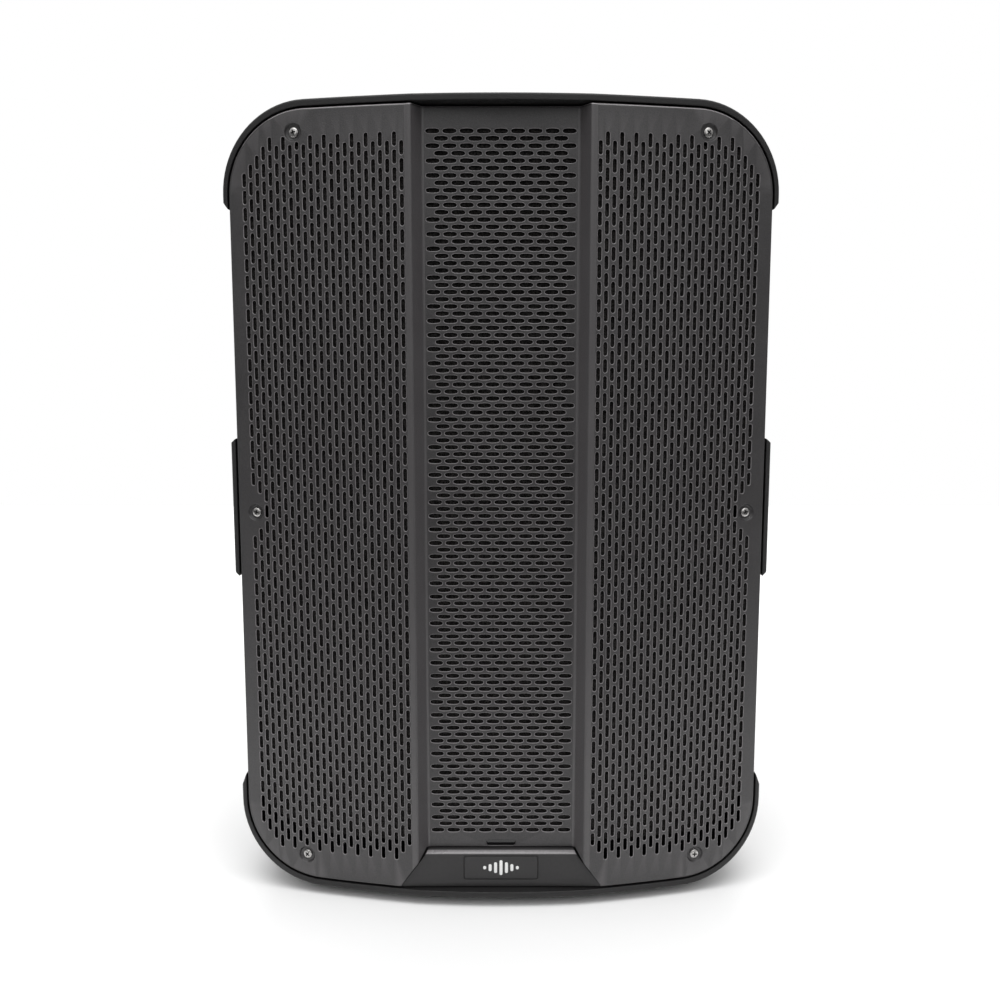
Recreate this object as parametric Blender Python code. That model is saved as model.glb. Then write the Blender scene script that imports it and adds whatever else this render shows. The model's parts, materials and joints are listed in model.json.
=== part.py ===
"""A two-way powered PA loudspeaker cabinet, modelled as the pieces it comes apart into.

Metres, +Z up. The front faces -Y. The origin is on the floor, under the middle of the cabinet.
"""

import math

import bmesh
import bpy
from mathutils import Matrix, Vector

# Overall sizes and the gap between pieces that touch
WIDTH = 0.450
HEIGHT = 0.660
DEPTH = 0.370
FOOT_HEIGHT = 0.008
FIT = 0.0003
REACH = 0.010  # how far a cutter runs past the face it opens
EMBED = 0.0010  # how far a joined shape starts inside its neighbour

# Cabinet shells
WALL = 0.005
CORNER_RADIUS = 0.070
CORNER_STEPS = 6
WING_STEPS = 3
EDGE_BEVEL = 0.0012
SEAM_SETBACK = 0.125  # behind the front
SEAM_GROOVE = 0.0045
SEAM_STEP = 0.004
REAR_STEP_IN = 0.003
TAPER_SETBACK = 0.165  # where the sides start to narrow, behind the front
TAPER_START_IN = 0.004
BACK_HALF_WIDTH = 0.152
BACK_CORNER_RADIUS = 0.045
BACK_ROUND = 0.015
BAFFLE_SETBACK = 0.073  # behind the front
BAFFLE_THICKNESS = 0.006

# Front rim, which follows the bowed plan shape of the grille
SWEEP = math.radians(14.0)
CROWN = 0.0027  # how far each wing bows forward of its chord
RIDGE_X = 0.0695
BOW = 0.0036
RIM_SIDE = 0.0040
RIM_TOP = 0.0054
RIM_GAP = 0.0016
TOP_LIP_LENGTH = 0.0765
BOTTOM_LIP_LENGTH = 0.0825
SIDE_TAB_HEIGHT = 0.109
LIP_END_CHAMFER = 0.0075
BOTTOM_LIP_CHAMFER = 0.0145
TAB_END_CHAMFER = 0.005
NOTCH_SETBACK = 0.075  # behind the front
REBATE_WIDTH = 0.007

# Grille: a formed sheet with a sunk centre channel
SHEET = 0.002
CHANNEL_DEPTH = 0.012
CHANNEL_HALF_WIDTH = 0.0616
GRILLE_FLANGE = 0.018
DIMPLE_RADIUS = 0.007
DIMPLE_DEPTH = 0.0026
SCREW_HOLE_RADIUS = 0.0026
TOP_SCREW = (0.061, 0.025)  # in from the side, down from the top
SIDE_SCREW = (0.0205, 0.003)  # in from the side, below the middle
BOTTOM_SCREW = (0.058, 0.027)  # in from the side, up from the bottom
SCREW_HEAD_RADIUS = 0.0043
SCREW_HEAD_HEIGHT = 0.0020
SCREW_SHANK_RADIUS = 0.0019
SCREW_LENGTH = 0.014
BOSS_RADIUS = 0.0060
BOSS_BORE = 0.0022

# Foam sheet behind the grille
FOAM_THICKNESS = 0.004
FOAM_GAP = 0.0005
FOAM_INSET = 0.006
FOAM_RADIUS = 0.058
FOAM_HOLE_RADIUS = 0.0105
FOAM_LOW = 0.048  # above the cabinet's bottom
FOAM_TOP_INSET = 0.018

# Name plate, badge and indicator
PLATE_TOP_HALF = 0.0625
PLATE_BOTTOM_HALF = 0.0847
PLATE_TOP = 0.038  # above the cabinet's bottom
PLATE_BOTTOM = 0.0062
PLATE_SUNK = 0.005
PLATE_THICKNESS = 0.011
PLATE_GROOVE = 0.0015
PLATE_PEG_RADIUS = 0.003
PLATE_PEG_X = 0.045
BADGE_SIZE = (0.0630, 0.0212)
BADGE_RADIUS = 0.0028
BADGE_POCKET = 0.0012
BADGE_THICKNESS = 0.0007
BADGE_CENTRE = 0.0232
SLOT_SIZE = (0.0246, 0.0040)
SLOT_CENTRE = 0.0423
LIGHT_BAR_OVERLAP = 0.0006
LIGHT_BAR_LENGTH = 0.009

# Woofer. Depths run back from the baffle's front face.
WOOFER_Z = 0.227  # above the cabinet's bottom
FRAME_RADIUS = 0.1935
FRAME_HOLE_RADIUS = 0.178
GASKET_THICKNESS = 0.003
FLANGE_THICKNESS = 0.006
FLANGE_INNER_RADIUS = 0.163
FRAME_WALL = 0.004
BASKET_DEPTH = 0.075
FRAME_NECK_RADIUS = 0.0885
FRAME_BORE = 0.043
SPIDER_RADIUS = 0.0905
SPIDER_LEDGE_RADIUS = 0.079
SPIDER_LEDGE_DEPTH = 0.069
WINDOW_COUNT = 6
WINDOW_WIDTH = 0.052
WINDOW_DEPTHS = (0.020, 0.060)
SURROUND_THICKNESS = 0.0013
ROLL_WIDTH = 0.015
CONE_THICKNESS = 0.0015
CONE_DEPTH = 0.072
COIL_RADIUS = 0.0385
FORMER_THICKNESS = 0.0007
WINDING_THICKNESS = 0.0009
DUST_CAP_RADIUS = 0.050
DUST_CAP_RISE = 0.016
TOP_PLATE_THICKNESS = 0.008
TOP_PLATE_RADIUS = 0.078
MAGNET_RADIUS = 0.085
MAGNET_BORE = 0.050
MAGNET_THICKNESS = 0.023
YOKE_RADIUS = 0.080
YOKE_THICKNESS = 0.010
POLE_RADIUS = 0.0372
POLE_VENT_RADIUS = 0.012
COIL_GAP = 0.0011

# Horn and compression driver
HORN_DROP = 0.100  # centre below the cabinet's top
HORN_FLANGE = (0.250, 0.152)
HORN_MOUTH = (0.226, 0.128)
HORN_LENGTH = 0.110
HORN_WALL = 0.003
HORN_FLANGE_THICKNESS = 0.004
HORN_CUT_CLEARANCE = 0.002
THROAT_RADIUS = 0.018
THROAT_FLANGE_RADIUS = 0.030
DRIVER_RADIUS = 0.045
DRIVER_LENGTH = 0.044
DRIVER_RECESS = 0.008
DRIVER_RECESS_RADIUS = 0.037
DIAPHRAGM_RADIUS = 0.0235
DIAPHRAGM_TRAVEL = 0.0003
CAP_THICKNESS = 0.007

# Ports
PORT_X = 0.168
PORT_DROP = 0.160
PORT_RADIUS = 0.030
PORT_WALL = 0.0025
PORT_LENGTH = 0.115
PORT_FLANGE_RADIUS = 0.038
PORT_FLANGE_THICKNESS = 0.004

# Handles, in their own plane
SIDE_HANDLE_SIZE = (0.200, 0.120)
SIDE_HANDLE_DEPTH = 0.055
TOP_HANDLE_SIZE = (0.180, 0.086)
TOP_HANDLE_DEPTH = 0.036
TOP_HANDLE_LEAD = 0.125  # ahead of the back
HANDLE_FLANGE = 0.010
HANDLE_FLANGE_THICKNESS = 0.003
HANDLE_RADIUS = 0.020
GRIP_WIDTH = 0.024
GRIP_THICKNESS = 0.016

# Base and rigging
POLE_RADIUS_FREE = 0.018
POLE_CUP_WALL = 0.0035
POLE_CUP_HEIGHT = 0.090
POLE_FLANGE_RADIUS = 0.040
POLE_FLANGE_THICKNESS = 0.003
FOOT_RADIUS = 0.016
FOOT_FRONT = (0.130, 0.055)  # from the middle, behind the front
FOOT_REAR = (0.095, 0.040)  # from the middle, ahead of the back
INSERT_RADIUS = 0.010
INSERT_BORE = 0.0051
INSERT_LENGTH = 0.025
INSERT_SUNK = 0.0005
INSERT_FLANGE_RADIUS = 0.015
INSERT_X = 0.110
INSERT_LEAD = 0.125  # ahead of the back
REAR_INSERT_DROP = 0.060

# Amplifier panel, recessed in the back
PANEL_SIZE = (0.220, 0.400)
PANEL_CENTRE_Z = 0.337  # above the cabinet's bottom
PANEL_RADIUS = 0.008
PANEL_RECESS = 0.023
PANEL_LEDGE = 0.012
PANEL_CLEARANCE = 0.001
PANEL_THICKNESS = 0.003
PANEL_GASKET = 0.0015
HEATSINK_SIZE = (0.184, 0.170)
HEATSINK_DEPTH = 0.015
HEATSINK_BASE = 0.004
HEATSINK_FINS = 17
HEATSINK_RAISE = 0.100  # centre above the panel's centre
FIN_SHARE = 0.35
BOARD_THICKNESS = 0.0016
AMP_BOARD_SIZE = (0.180, 0.160)
AMP_BOARD_BACK = 0.014
TRANSFORMER_SIZE = (0.060, 0.050)
TRANSFORMER_HEIGHT = 0.036
CAPACITOR_RADIUS = 0.0125
CAPACITOR_HEIGHT = 0.032
CONTROL_BOARD_SIZE = (0.190, 0.058)
CONTROL_BOARD_BACK = 0.013
POT_SIZE = 0.012
POT_HEIGHT = 0.0115
SHAFT_RADIUS = 0.0030
SHAFT_HOLE_RADIUS = 0.0038
KNOB_X = (-0.075, -0.025, 0.025, 0.075)
KNOB_DROP = 0.018  # below the panel's centre
KNOB_RADIUS = 0.0085
KNOB_HEIGHT = 0.013
KNOB_GAP = 0.0006
KNOB_BORE_DEPTH = 0.009
POINTER_WIDTH = 0.0016
POINTER_RISE = 0.0008
BUTTON_X = (-0.075, -0.025)
BUTTON_DROP = 0.040
BUTTON_RADIUS = 0.0038
BUTTON_HOLE_RADIUS = 0.0043
BUTTON_HEIGHT = 0.0045
BUTTON_STEM = 0.0060
SOCKET_X = (-0.065, 0.000, 0.065)
SOCKET_DROP = 0.080
SOCKET_FLANGE = (0.026, 0.031)
SOCKET_FLANGE_THICKNESS = 0.0025
SOCKET_BODY_RADIUS = 0.0116
SOCKET_HOLE_RADIUS = 0.0122
SOCKET_BODY_LENGTH = 0.024
SOCKET_RECESS_RADIUS = 0.0096
SOCKET_RECESS_DEPTH = 0.018
JACK_RADIUS = 0.0033
JACK_EXTRA_DEPTH = 0.005
LATCH_SIZE = (0.0080, 0.0026)
LATCH_RISE = 0.0129
LATCH_THICKNESS = 0.0025
LATCH_LIFT = 0.0012
LATCH_CLEARANCE = 0.0003
PIN_RADIUS = 0.0012
PIN_CIRCLE = 0.0055
PIN_LENGTH = 0.011
INLET_CENTRE = (-0.040, -0.150)
INLET_FLANGE = (0.064, 0.044)
INLET_BODY = (0.058, 0.038)
INLET_FLANGE_THICKNESS = 0.0025
INLET_BODY_LENGTH = 0.030
INLET_CAVITY = (0.0270, 0.0185)
INLET_CAVITY_AT = (0.0085, 0.0055)
INLET_CAVITY_DEPTH = 0.017
INLET_CAVITY_RADIUS = 0.003
BLADE_SIZE = (0.0020, 0.0045)
BLADE_SPREAD = 0.0068
BLADE_LENGTH = 0.013
FUSE_SLOT = (0.0250, 0.0076)
FUSE_SLOT_AT = (0.0085, -0.0125)
FUSE_SLOT_DEPTH = 0.026
FUSE_PROUD = 0.0015
ROCKER_OPENING = (0.0137, 0.0228)
ROCKER_OPENING_AT = (-0.0200, 0.0)
ROCKER_OPENING_DEPTH = 0.014
ROCKER_TILT = math.radians(8.0)
ROCKER_PIVOT_DEPTH = 0.003
ROCKER_CLEARANCE = 0.0005

# Wiring loom
LOOM_RADIUS = 0.0025
LOOM_SIDES = 8
LOOM_STEPS = 3
LOOM_BLOCK = (0.016, 0.010, 0.012)

ROUND_FINE = 28
ROUND_MEDIUM = 20
ROUND_SMALL = 14
ROUND_TINY = 8
SMOOTH_ANGLE = math.radians(35.0)

# Driving places that follow from the sizes above
FRONT_Y = -DEPTH / 2
BACK_Y = DEPTH / 2
SEAM_Y = FRONT_Y + SEAM_SETBACK
TAPER_START_Y = FRONT_Y + TAPER_SETBACK
BAFFLE_Y = FRONT_Y + BAFFLE_SETBACK
NOTCH_BACK_Y = FRONT_Y + NOTCH_SETBACK
TOP_HANDLE_Y = BACK_Y - TOP_HANDLE_LEAD
INSERT_Y = BACK_Y - INSERT_LEAD
LOW_Z = FOOT_HEIGHT
MIDDLE_Z = (LOW_Z + HEIGHT) / 2
RIDGE_Y = FRONT_Y + BOW
GRILLE_HALF_WIDTH = WIDTH / 2 - RIM_SIDE - RIM_GAP
WOOFER_CENTRE = Vector((0, BAFFLE_Y, LOW_Z + WOOFER_Z))
HORN_CENTRE = Vector((0, BAFFLE_Y, HEIGHT - HORN_DROP))
PANEL_Z = LOW_Z + PANEL_CENTRE_Z
LEDGE_Y = BACK_Y - PANEL_RECESS
PLATE_INNER_Y = LEDGE_Y + FIT + PANEL_GASKET + FIT
PLATE_OUTER_Y = PLATE_INNER_Y + PANEL_THICKNESS


def basis(x_axis, y_axis, z_axis):
    """The rotation that takes a shape's own axes to these directions."""
    columns = Matrix((Vector(x_axis), Vector(y_axis), Vector(z_axis)))
    return columns.transposed().to_4x4()


FACING_FRONT = basis((1, 0, 0), (0, 0, 1), (0, -1, 0))
FACING_BACK = basis((-1, 0, 0), (0, 0, 1), (0, 1, 0))
INTO_BACK = basis((1, 0, 0), (0, 0, -1), (0, 1, 0))
FACING_UP = Matrix.Identity(4)


def place(point, turn=FACING_UP):
    return Matrix.Translation(Vector(point)) @ turn


# Materials


def material(name, colour, roughness, metallic=0.0):
    made = bpy.data.materials.get(name) or bpy.data.materials.new(name)
    made.use_nodes = True
    shader = made.node_tree.nodes["Principled BSDF"]
    shader.inputs["Base Color"].default_value = (*colour, 1.0)
    shader.inputs["Roughness"].default_value = roughness
    shader.inputs["Metallic"].default_value = metallic
    return made


def make_materials():
    return {
        "shell": material("shell_plastic", (0.022, 0.022, 0.024), 0.55),
        "grille": material("grille_paint", (0.070, 0.070, 0.075), 0.45, 0.3),
        "foam": material("foam_black", (0.010, 0.010, 0.010), 0.95),
        "trim": material("trim_plastic", (0.045, 0.045, 0.048), 0.50),
        "badge": material("badge_plate", (0.090, 0.090, 0.095), 0.35),
        "lens": material("smoked_lens", (0.020, 0.020, 0.025), 0.15),
        "screw": material("screw_nickel", (0.620, 0.620, 0.630), 0.28, 1.0),
        "rubber": material("rubber_black", (0.018, 0.018, 0.018), 0.85),
        "steel": material("steel_zinc", (0.520, 0.520, 0.530), 0.38, 1.0),
        "basket": material("basket_paint", (0.030, 0.030, 0.032), 0.50, 0.2),
        "paper": material("cone_paper", (0.035, 0.033, 0.031), 0.85),
        "cloth": material("treated_cloth", (0.050, 0.042, 0.030), 0.80),
        "former": material("coil_former", (0.550, 0.420, 0.220), 0.55),
        "ferrite": material("ferrite", (0.060, 0.060, 0.062), 0.60),
        "horn": material("horn_plastic", (0.020, 0.020, 0.021), 0.40),
        "aluminium": material("heatsink_black", (0.045, 0.045, 0.047), 0.45, 0.6),
        "panel": material("panel_paint", (0.030, 0.030, 0.032), 0.48, 0.2),
        "board": material("circuit_board", (0.020, 0.110, 0.050), 0.45),
        "socket": material("socket_plastic", (0.028, 0.028, 0.030), 0.42),
        "knob": material("knob_plastic", (0.035, 0.035, 0.037), 0.50),
        "button": material("button_plastic", (0.300, 0.300, 0.310), 0.45),
        "rocker": material("rocker_plastic", (0.250, 0.020, 0.018), 0.35),
        "wire": material("wire_sleeve", (0.120, 0.020, 0.018), 0.55),
    }


# Mesh building


def solid(name, points, faces, look=None, at=FACING_UP):
    """An object from points in its own frame, with its faces turned outwards."""
    mesh = bpy.data.meshes.new(name)
    mesh.from_pydata([tuple(p) for p in points], [], faces)
    shape = bmesh.new()
    shape.from_mesh(mesh)
    bmesh.ops.recalc_face_normals(shape, faces=shape.faces)
    shape.to_mesh(mesh)
    shape.free()
    mesh.shade_smooth()
    mesh.set_sharp_from_angle(angle=SMOOTH_ANGLE)
    made = bpy.data.objects.new(name, mesh)
    bpy.context.scene.collection.objects.link(made)
    made.matrix_world = at
    if look:
        mesh.materials.append(look)
    return made


def skin(loops, closed=False):
    """Points and faces through loops of equal length. Open ends get a flat cap."""
    count = len(loops[0])
    points = [p for loop in loops for p in loop]
    faces = []
    last = len(loops) if closed else len(loops) - 1
    for i in range(last):
        a, b = i * count, (i + 1) % len(loops) * count
        for k in range(count):
            n = (k + 1) % count
            faces.append((a + k, a + n, b + n, b + k))
    if not closed:
        faces.append(tuple(range(count)))
        faces.append(tuple(range(len(points) - count, len(points))))
    return points, faces


def prism(name, outline, low, high, look=None, at=FACING_UP):
    """The outline in the shape's own XY plane, from low to high along its own Z."""
    loops = [[(x, y, z) for x, y in outline] for z in (low, high)]
    return solid(name, *skin(loops), look, at)


def rounded(size, radius, steps=4):
    """A rectangle of this size round the origin, with round corners."""
    half_x, half_y = size[0] / 2 - radius, size[1] / 2 - radius
    outline = []
    for corner, (sx, sy) in enumerate(((1, 1), (-1, 1), (-1, -1), (1, -1))):
        for k in range(steps + 1):
            angle = math.pi / 2 * (corner + k / steps)
            outline.append((sx * half_x + radius * math.cos(angle), sy * half_y + radius * math.sin(angle)))
    return outline


def circle(radius, count):
    return [(radius * math.cos(math.tau * k / count), radius * math.sin(math.tau * k / count)) for k in range(count)]


def box(name, size, low, high, look=None, at=FACING_UP):
    half_x, half_y = size[0] / 2, size[1] / 2
    corners = [(half_x, half_y), (-half_x, half_y), (-half_x, -half_y), (half_x, -half_y)]
    return prism(name, corners, low, high, look, at)


def cylinder(name, radius, low, high, look=None, at=FACING_UP, count=ROUND_SMALL):
    return prism(name, circle(radius, count), low, high, look, at)


def lathe(name, profile, look=None, at=FACING_UP, count=ROUND_MEDIUM):
    """A (radius, height) profile turned about the shape's own Z.

    A profile that starts and ends on the axis is open, and any other closes on itself.
    """
    on_axis = profile[0][0] == 0
    points, rings = [], []
    for radius, height in profile:
        rings.append(len(points))
        if radius == 0:
            points.append((0, 0, height))
        else:
            points.extend((x, y, height) for x, y in circle(radius, count))
    faces = []
    pairs = len(profile) - 1 if on_axis else len(profile)
    for i in range(pairs):
        j = (i + 1) % len(profile)
        for k in range(count):
            n = (k + 1) % count
            a, b = rings[i], rings[j]
            if profile[i][0] == 0:
                faces.append((a, b + k, b + n))
            elif profile[j][0] == 0:
                faces.append((a + k, b, a + n))
            else:
                faces.append((a + k, b + k, b + n, a + n))
    return solid(name, points, faces, look, at)


def combine(target, tool, operation):
    """Adds a Boolean to target. The tool stays in the scene as a hidden guide."""
    tool.hide_render = True
    tool.display_type = "WIRE"
    change = target.modifiers.new(tool.name, "BOOLEAN")
    change.operation = operation
    change.solver = "EXACT"
    change.object = tool
    return target


def cut(target, tool):
    return combine(target, tool, "DIFFERENCE")


def join(target, tool):
    return combine(target, tool, "UNION")


# Plan shapes of the front


def wing_share(x):
    """How far out on a wing x lies, from 0 at the ridge to 1 at the grille's edge."""
    return max(abs(x) - RIDGE_X, 0) / (GRILLE_HALF_WIDTH - RIDGE_X)


def swept_y(x):
    """The front's plan line outside the ridges, which falls back to each side with a slight crown."""
    t = wing_share(x)
    return RIDGE_Y + max(abs(x) - RIDGE_X, 0) * math.tan(SWEEP) - 4 * CROWN * t * (1 - t)


def wing_slope(x):
    """The plan angle of the wing's surface at x."""
    rise = 4 * CROWN * (1 - 2 * wing_share(x)) / (GRILLE_HALF_WIDTH - RIDGE_X)
    return math.atan(math.tan(SWEEP) - rise)


def rim_y(x):
    """The rim's front: the swept line, bowed forward between the ridges."""
    share = min(abs(x) / RIDGE_X, 1)
    return swept_y(x) - BOW * (1 - share * share)


def grille_y(x):
    """The grille's front: the swept wings and the sunk channel with sloped sides."""
    sunk = (RIDGE_X - abs(x)) / (RIDGE_X - CHANNEL_HALF_WIDTH)
    return swept_y(x) + CHANNEL_DEPTH * min(max(sunk, 0), 1)


def rim_knots():
    steps = 4
    side = [RIDGE_X * k / steps for k in range(1, steps + 1)] + wing_knots()
    return [-x for x in reversed(side)] + [0.0] + side


def wing_knots():
    """Where the crowned wing's top and bottom edges bend, between the ridge and the corner."""
    length = WIDTH / 2 - CORNER_RADIUS - RIDGE_X
    return [RIDGE_X + length * k / WING_STEPS for k in range(1, WING_STEPS)]


def grille_knots():
    side = [CHANNEL_HALF_WIDTH, RIDGE_X] + wing_knots()
    return [-x for x in reversed(side)] + side


def face_loop(half_width, low, high, radius, depth_at, knots=()):
    """A round-cornered loop in the XZ plane whose Y follows depth_at(x).

    The upper half runs from +X to -X and the lower half mirrors it, so a cap can run in upright strips.
    """
    upper = []
    for side in (1, -1):
        for k in range(CORNER_STEPS + 1):
            angle = math.pi / 2 * k / CORNER_STEPS
            angle = angle if side > 0 else math.pi / 2 + angle
            x = side * (half_width - radius) + radius * math.cos(angle)
            upper.append((x, high - radius + radius * math.sin(angle)))
        if side > 0:
            upper.extend((x, high) for x in sorted(knots, reverse=True))
    lower = [(x, low + high - z) for x, z in reversed(upper)]
    return [(x, depth_at(x), z) for x, z in upper + lower]


def strip_skin(loops):
    """Like skin, with both ends capped by upright strips, for ends that are not flat."""
    points, faces = skin(loops)
    del faces[-2:]
    count = len(loops[0])
    for start in (0, len(points) - count):
        for k in range(count // 2 - 1):
            faces.append((start + k, start + k + 1, start + count - 2 - k, start + count - 1 - k))
    return points, faces


def body_loop(inset, depth_at, radius=None, half_width=None, knots=()):
    """A cross-section of the cabinet, inset from its outer size."""
    half_width = WIDTH / 2 - inset if half_width is None else half_width
    radius = CORNER_RADIUS - inset if radius is None else radius
    return face_loop(half_width, LOW_Z + inset, HEIGHT - inset, radius, depth_at, knots)


def flat(y):
    return lambda x: y


# Screw places on the grille


def screw_places():
    """Name, X and Z of each grille screw."""
    rows = (
        ("top", WIDTH / 2 - TOP_SCREW[0], HEIGHT - TOP_SCREW[1]),
        ("side", WIDTH / 2 - SIDE_SCREW[0], MIDDLE_Z - SIDE_SCREW[1]),
        ("bottom", WIDTH / 2 - BOTTOM_SCREW[0], LOW_Z + BOTTOM_SCREW[1]),
    )
    return [(f"{row}_{side}", sign * x, z) for row, x, z in rows for side, sign in (("left", -1), ("right", 1))]


def on_wing(x, z):
    """A frame on the grille's front surface, with its own Z pointing out of the sheet."""
    sign = math.copysign(1, x)
    slope = wing_slope(x)
    along = Vector((math.cos(slope), sign * math.sin(slope), 0))
    out = along.cross(Vector((0, 0, 1)))
    return place((x, grille_y(x), z), basis(along, (0, 0, 1), out))


def cup_depth():
    return DIMPLE_DEPTH + SHEET


# Front shell


def make_front_shell(looks):
    loops = [
        body_loop(EDGE_BEVEL, rim_y, knots=rim_knots()),
        body_loop(0, lambda x: rim_y(x) + EDGE_BEVEL, knots=rim_knots()),
        body_loop(0, flat(SEAM_Y - SEAM_STEP), knots=rim_knots()),
        body_loop(SEAM_GROOVE, flat(SEAM_Y), knots=rim_knots()),
    ]
    shell = solid("front_shell", *strip_skin(loops), looks["shell"])
    rebate = [pocket_loop(0, flat(FRONT_Y - REACH)), pocket_loop(0, rebate_y)]
    cut(shell, solid("cut_front_rebate", *strip_skin(rebate)))
    pocket = [pocket_loop(REBATE_WIDTH, flat(y)) for y in (FRONT_Y - REACH, BAFFLE_Y)]
    cut(shell, solid("cut_front_pocket", *strip_skin(pocket)))
    cavity = [body_loop(WALL, flat(y)) for y in (BAFFLE_Y + BAFFLE_THICKNESS, SEAM_Y + REACH)]
    cut(shell, solid("cut_front_cavity", *strip_skin(cavity)))
    cut_baffle_holes(shell)
    cut_rim_notches(shell)
    add_screw_bosses(shell)
    return shell


def rebate_y(x):
    """The ledge inside the rim that the grille's flange stands on."""
    return swept_y(x) + GRILLE_FLANGE + FIT


def pocket_loop(inset, depth_at):
    low, high = LOW_Z + RIM_TOP + inset, HEIGHT - RIM_TOP - inset
    radius = CORNER_RADIUS - RIM_SIDE - inset
    knots = [-x for x in reversed(wing_knots())] + [-RIDGE_X, RIDGE_X] + wing_knots()
    return face_loop(WIDTH / 2 - RIM_SIDE - inset, low, high, radius, depth_at, knots)


def cut_rim_notches(shell):
    """Between the lips and the side tabs the rim is cut away, down to the grille's edge."""
    inner, outer = GRILLE_HALF_WIDTH, WIDTH / 2
    past = (outer + REACH - inner) / (outer - inner)
    tab = SIDE_TAB_HEIGHT / 2
    upper = (
        (HEIGHT - TOP_LIP_LENGTH, HEIGHT - TOP_LIP_LENGTH - LIP_END_CHAMFER),
        (MIDDLE_Z + tab, MIDDLE_Z + tab + TAB_END_CHAMFER),
    )
    lower = (
        (MIDDLE_Z - tab, MIDDLE_Z - tab - TAB_END_CHAMFER),
        (LOW_Z + BOTTOM_LIP_LENGTH, LOW_Z + BOTTOM_LIP_LENGTH + BOTTOM_LIP_CHAMFER),
    )
    for row, ends in (("upper", upper), ("lower", lower)):
        for side, sign in (("left", -1), ("right", 1)):
            outline = []
            for k, (at_outer, at_inner) in enumerate(ends):
                edge = [(sign * inner, at_inner), (sign * (outer + REACH), at_inner + (at_outer - at_inner) * past)]
                outline.extend(edge if k == 0 else edge[::-1])
            notch = prism(
                f"cut_notch_{row}_{side}", outline, -NOTCH_BACK_Y, -FRONT_Y + REACH, at=FACING_FRONT
            )
            cut(shell, notch)


def add_screw_bosses(shell):
    """Posts from the baffle to the back of each screw dimple."""
    for name, x, z in screw_places():
        frame = on_wing(x, z)
        to_baffle = (grille_y(x) - BAFFLE_Y) / math.cos(wing_slope(x)) - EMBED
        top = -cup_depth() - FIT
        join(shell, cylinder(f"boss_{name}", BOSS_RADIUS, to_baffle, top, at=frame, count=ROUND_TINY))
        bore_end = top - SCREW_LENGTH
        cut(shell, cylinder(f"cut_boss_{name}", BOSS_BORE, bore_end, 0, at=frame, count=ROUND_TINY))


def cut_baffle_holes(shell):
    through = (-REACH, BAFFLE_THICKNESS + REACH)
    at = place(WOOFER_CENTRE, INTO_BACK)
    cut(shell, cylinder("cut_woofer", FRAME_HOLE_RADIUS, *through, at=at, count=ROUND_FINE))
    size = [s + 2 * (HORN_WALL + HORN_CUT_CLEARANCE) for s in HORN_MOUTH]
    cut(shell, prism("cut_horn", rounded(size, EDGE_BEVEL + HORN_WALL), *through, at=place(HORN_CENTRE, INTO_BACK)))
    for side, sign in (("left", -1), ("right", 1)):
        radius = PORT_RADIUS + PORT_WALL + 2 * FIT
        turned = port_frame(sign) @ Matrix.Rotation(math.pi / ROUND_FINE, 4, "Z")
        cut(shell, cylinder(f"cut_port_{side}", radius, *through, at=turned, count=ROUND_FINE))


# Rear shell


def rear_outline(inset):
    """(half width, Z inset, corner radius, Y) of the rear shell's cross-sections, front to back."""
    half = WIDTH / 2
    return [
        (half - REAR_STEP_IN - inset, REAR_STEP_IN + inset, CORNER_RADIUS - inset, SEAM_Y + SEAM_STEP),
        (half - TAPER_START_IN - inset, REAR_STEP_IN + inset, CORNER_RADIUS - inset, TAPER_START_Y),
        (BACK_HALF_WIDTH - inset, REAR_STEP_IN + inset, BACK_CORNER_RADIUS - inset, BACK_Y - BACK_ROUND),
    ]


def rear_loop(half_width, z_inset, radius, y):
    return face_loop(half_width, LOW_Z + z_inset, HEIGHT - z_inset, radius, flat(y))


def make_rear_shell(looks):
    sections = rear_outline(0)
    half, z_inset, radius, _ = sections[-1]
    steps = 3
    rounds = []
    for k in range(1, steps + 1):
        angle = math.pi / 2 * k / steps
        inward = BACK_ROUND * (1 - math.cos(angle))
        y = BACK_Y - BACK_ROUND + BACK_ROUND * math.sin(angle)
        rounds.append((half - inward, z_inset + inward, radius - inward, y))
    start = (WIDTH / 2 - SEAM_GROOVE, SEAM_GROOVE, CORNER_RADIUS - SEAM_GROOVE, SEAM_Y + FIT)
    loops = [rear_loop(*section) for section in [start] + sections + rounds]
    shell = solid("rear_shell", *strip_skin(loops), looks["shell"])
    inner = rear_outline(WALL)
    mouth = (*inner[0][:3], SEAM_Y - REACH)
    back = (*inner[-1][:3], BACK_Y - BACK_ROUND)
    end = (inner[-1][0] - WALL, inner[-1][1] + WALL, inner[-1][2] - WALL, BACK_Y - WALL)
    cavity = [rear_loop(*section) for section in [mouth, inner[1], back, end]]
    cut(shell, solid("cut_rear_cavity", *strip_skin(cavity)))
    cut_panel_recess(shell)
    cut_fittings(shell)
    return shell


def cut_panel_recess(shell):
    """A tray round the amplifier panel, with a ledge that the panel seats on."""
    frame = place((0, BACK_Y, PANEL_Z), FACING_BACK)
    outer = [s + 2 * (PANEL_CLEARANCE + WALL) for s in PANEL_SIZE]
    tray = prism("panel_tray", rounded(outer, PANEL_RADIUS + WALL), -PANEL_RECESS - WALL, -EMBED, at=frame)
    join(shell, tray)
    clear = [s + 2 * PANEL_CLEARANCE for s in PANEL_SIZE]
    cut(shell, prism("cut_panel_recess", rounded(clear, PANEL_RADIUS), -PANEL_RECESS, REACH, at=frame))
    opening = [s - 2 * PANEL_LEDGE for s in PANEL_SIZE]
    through = (-PANEL_RECESS - WALL - REACH, 0)
    cut(shell, prism("cut_panel_opening", rounded(opening, PANEL_RADIUS), *through, at=frame))


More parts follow.
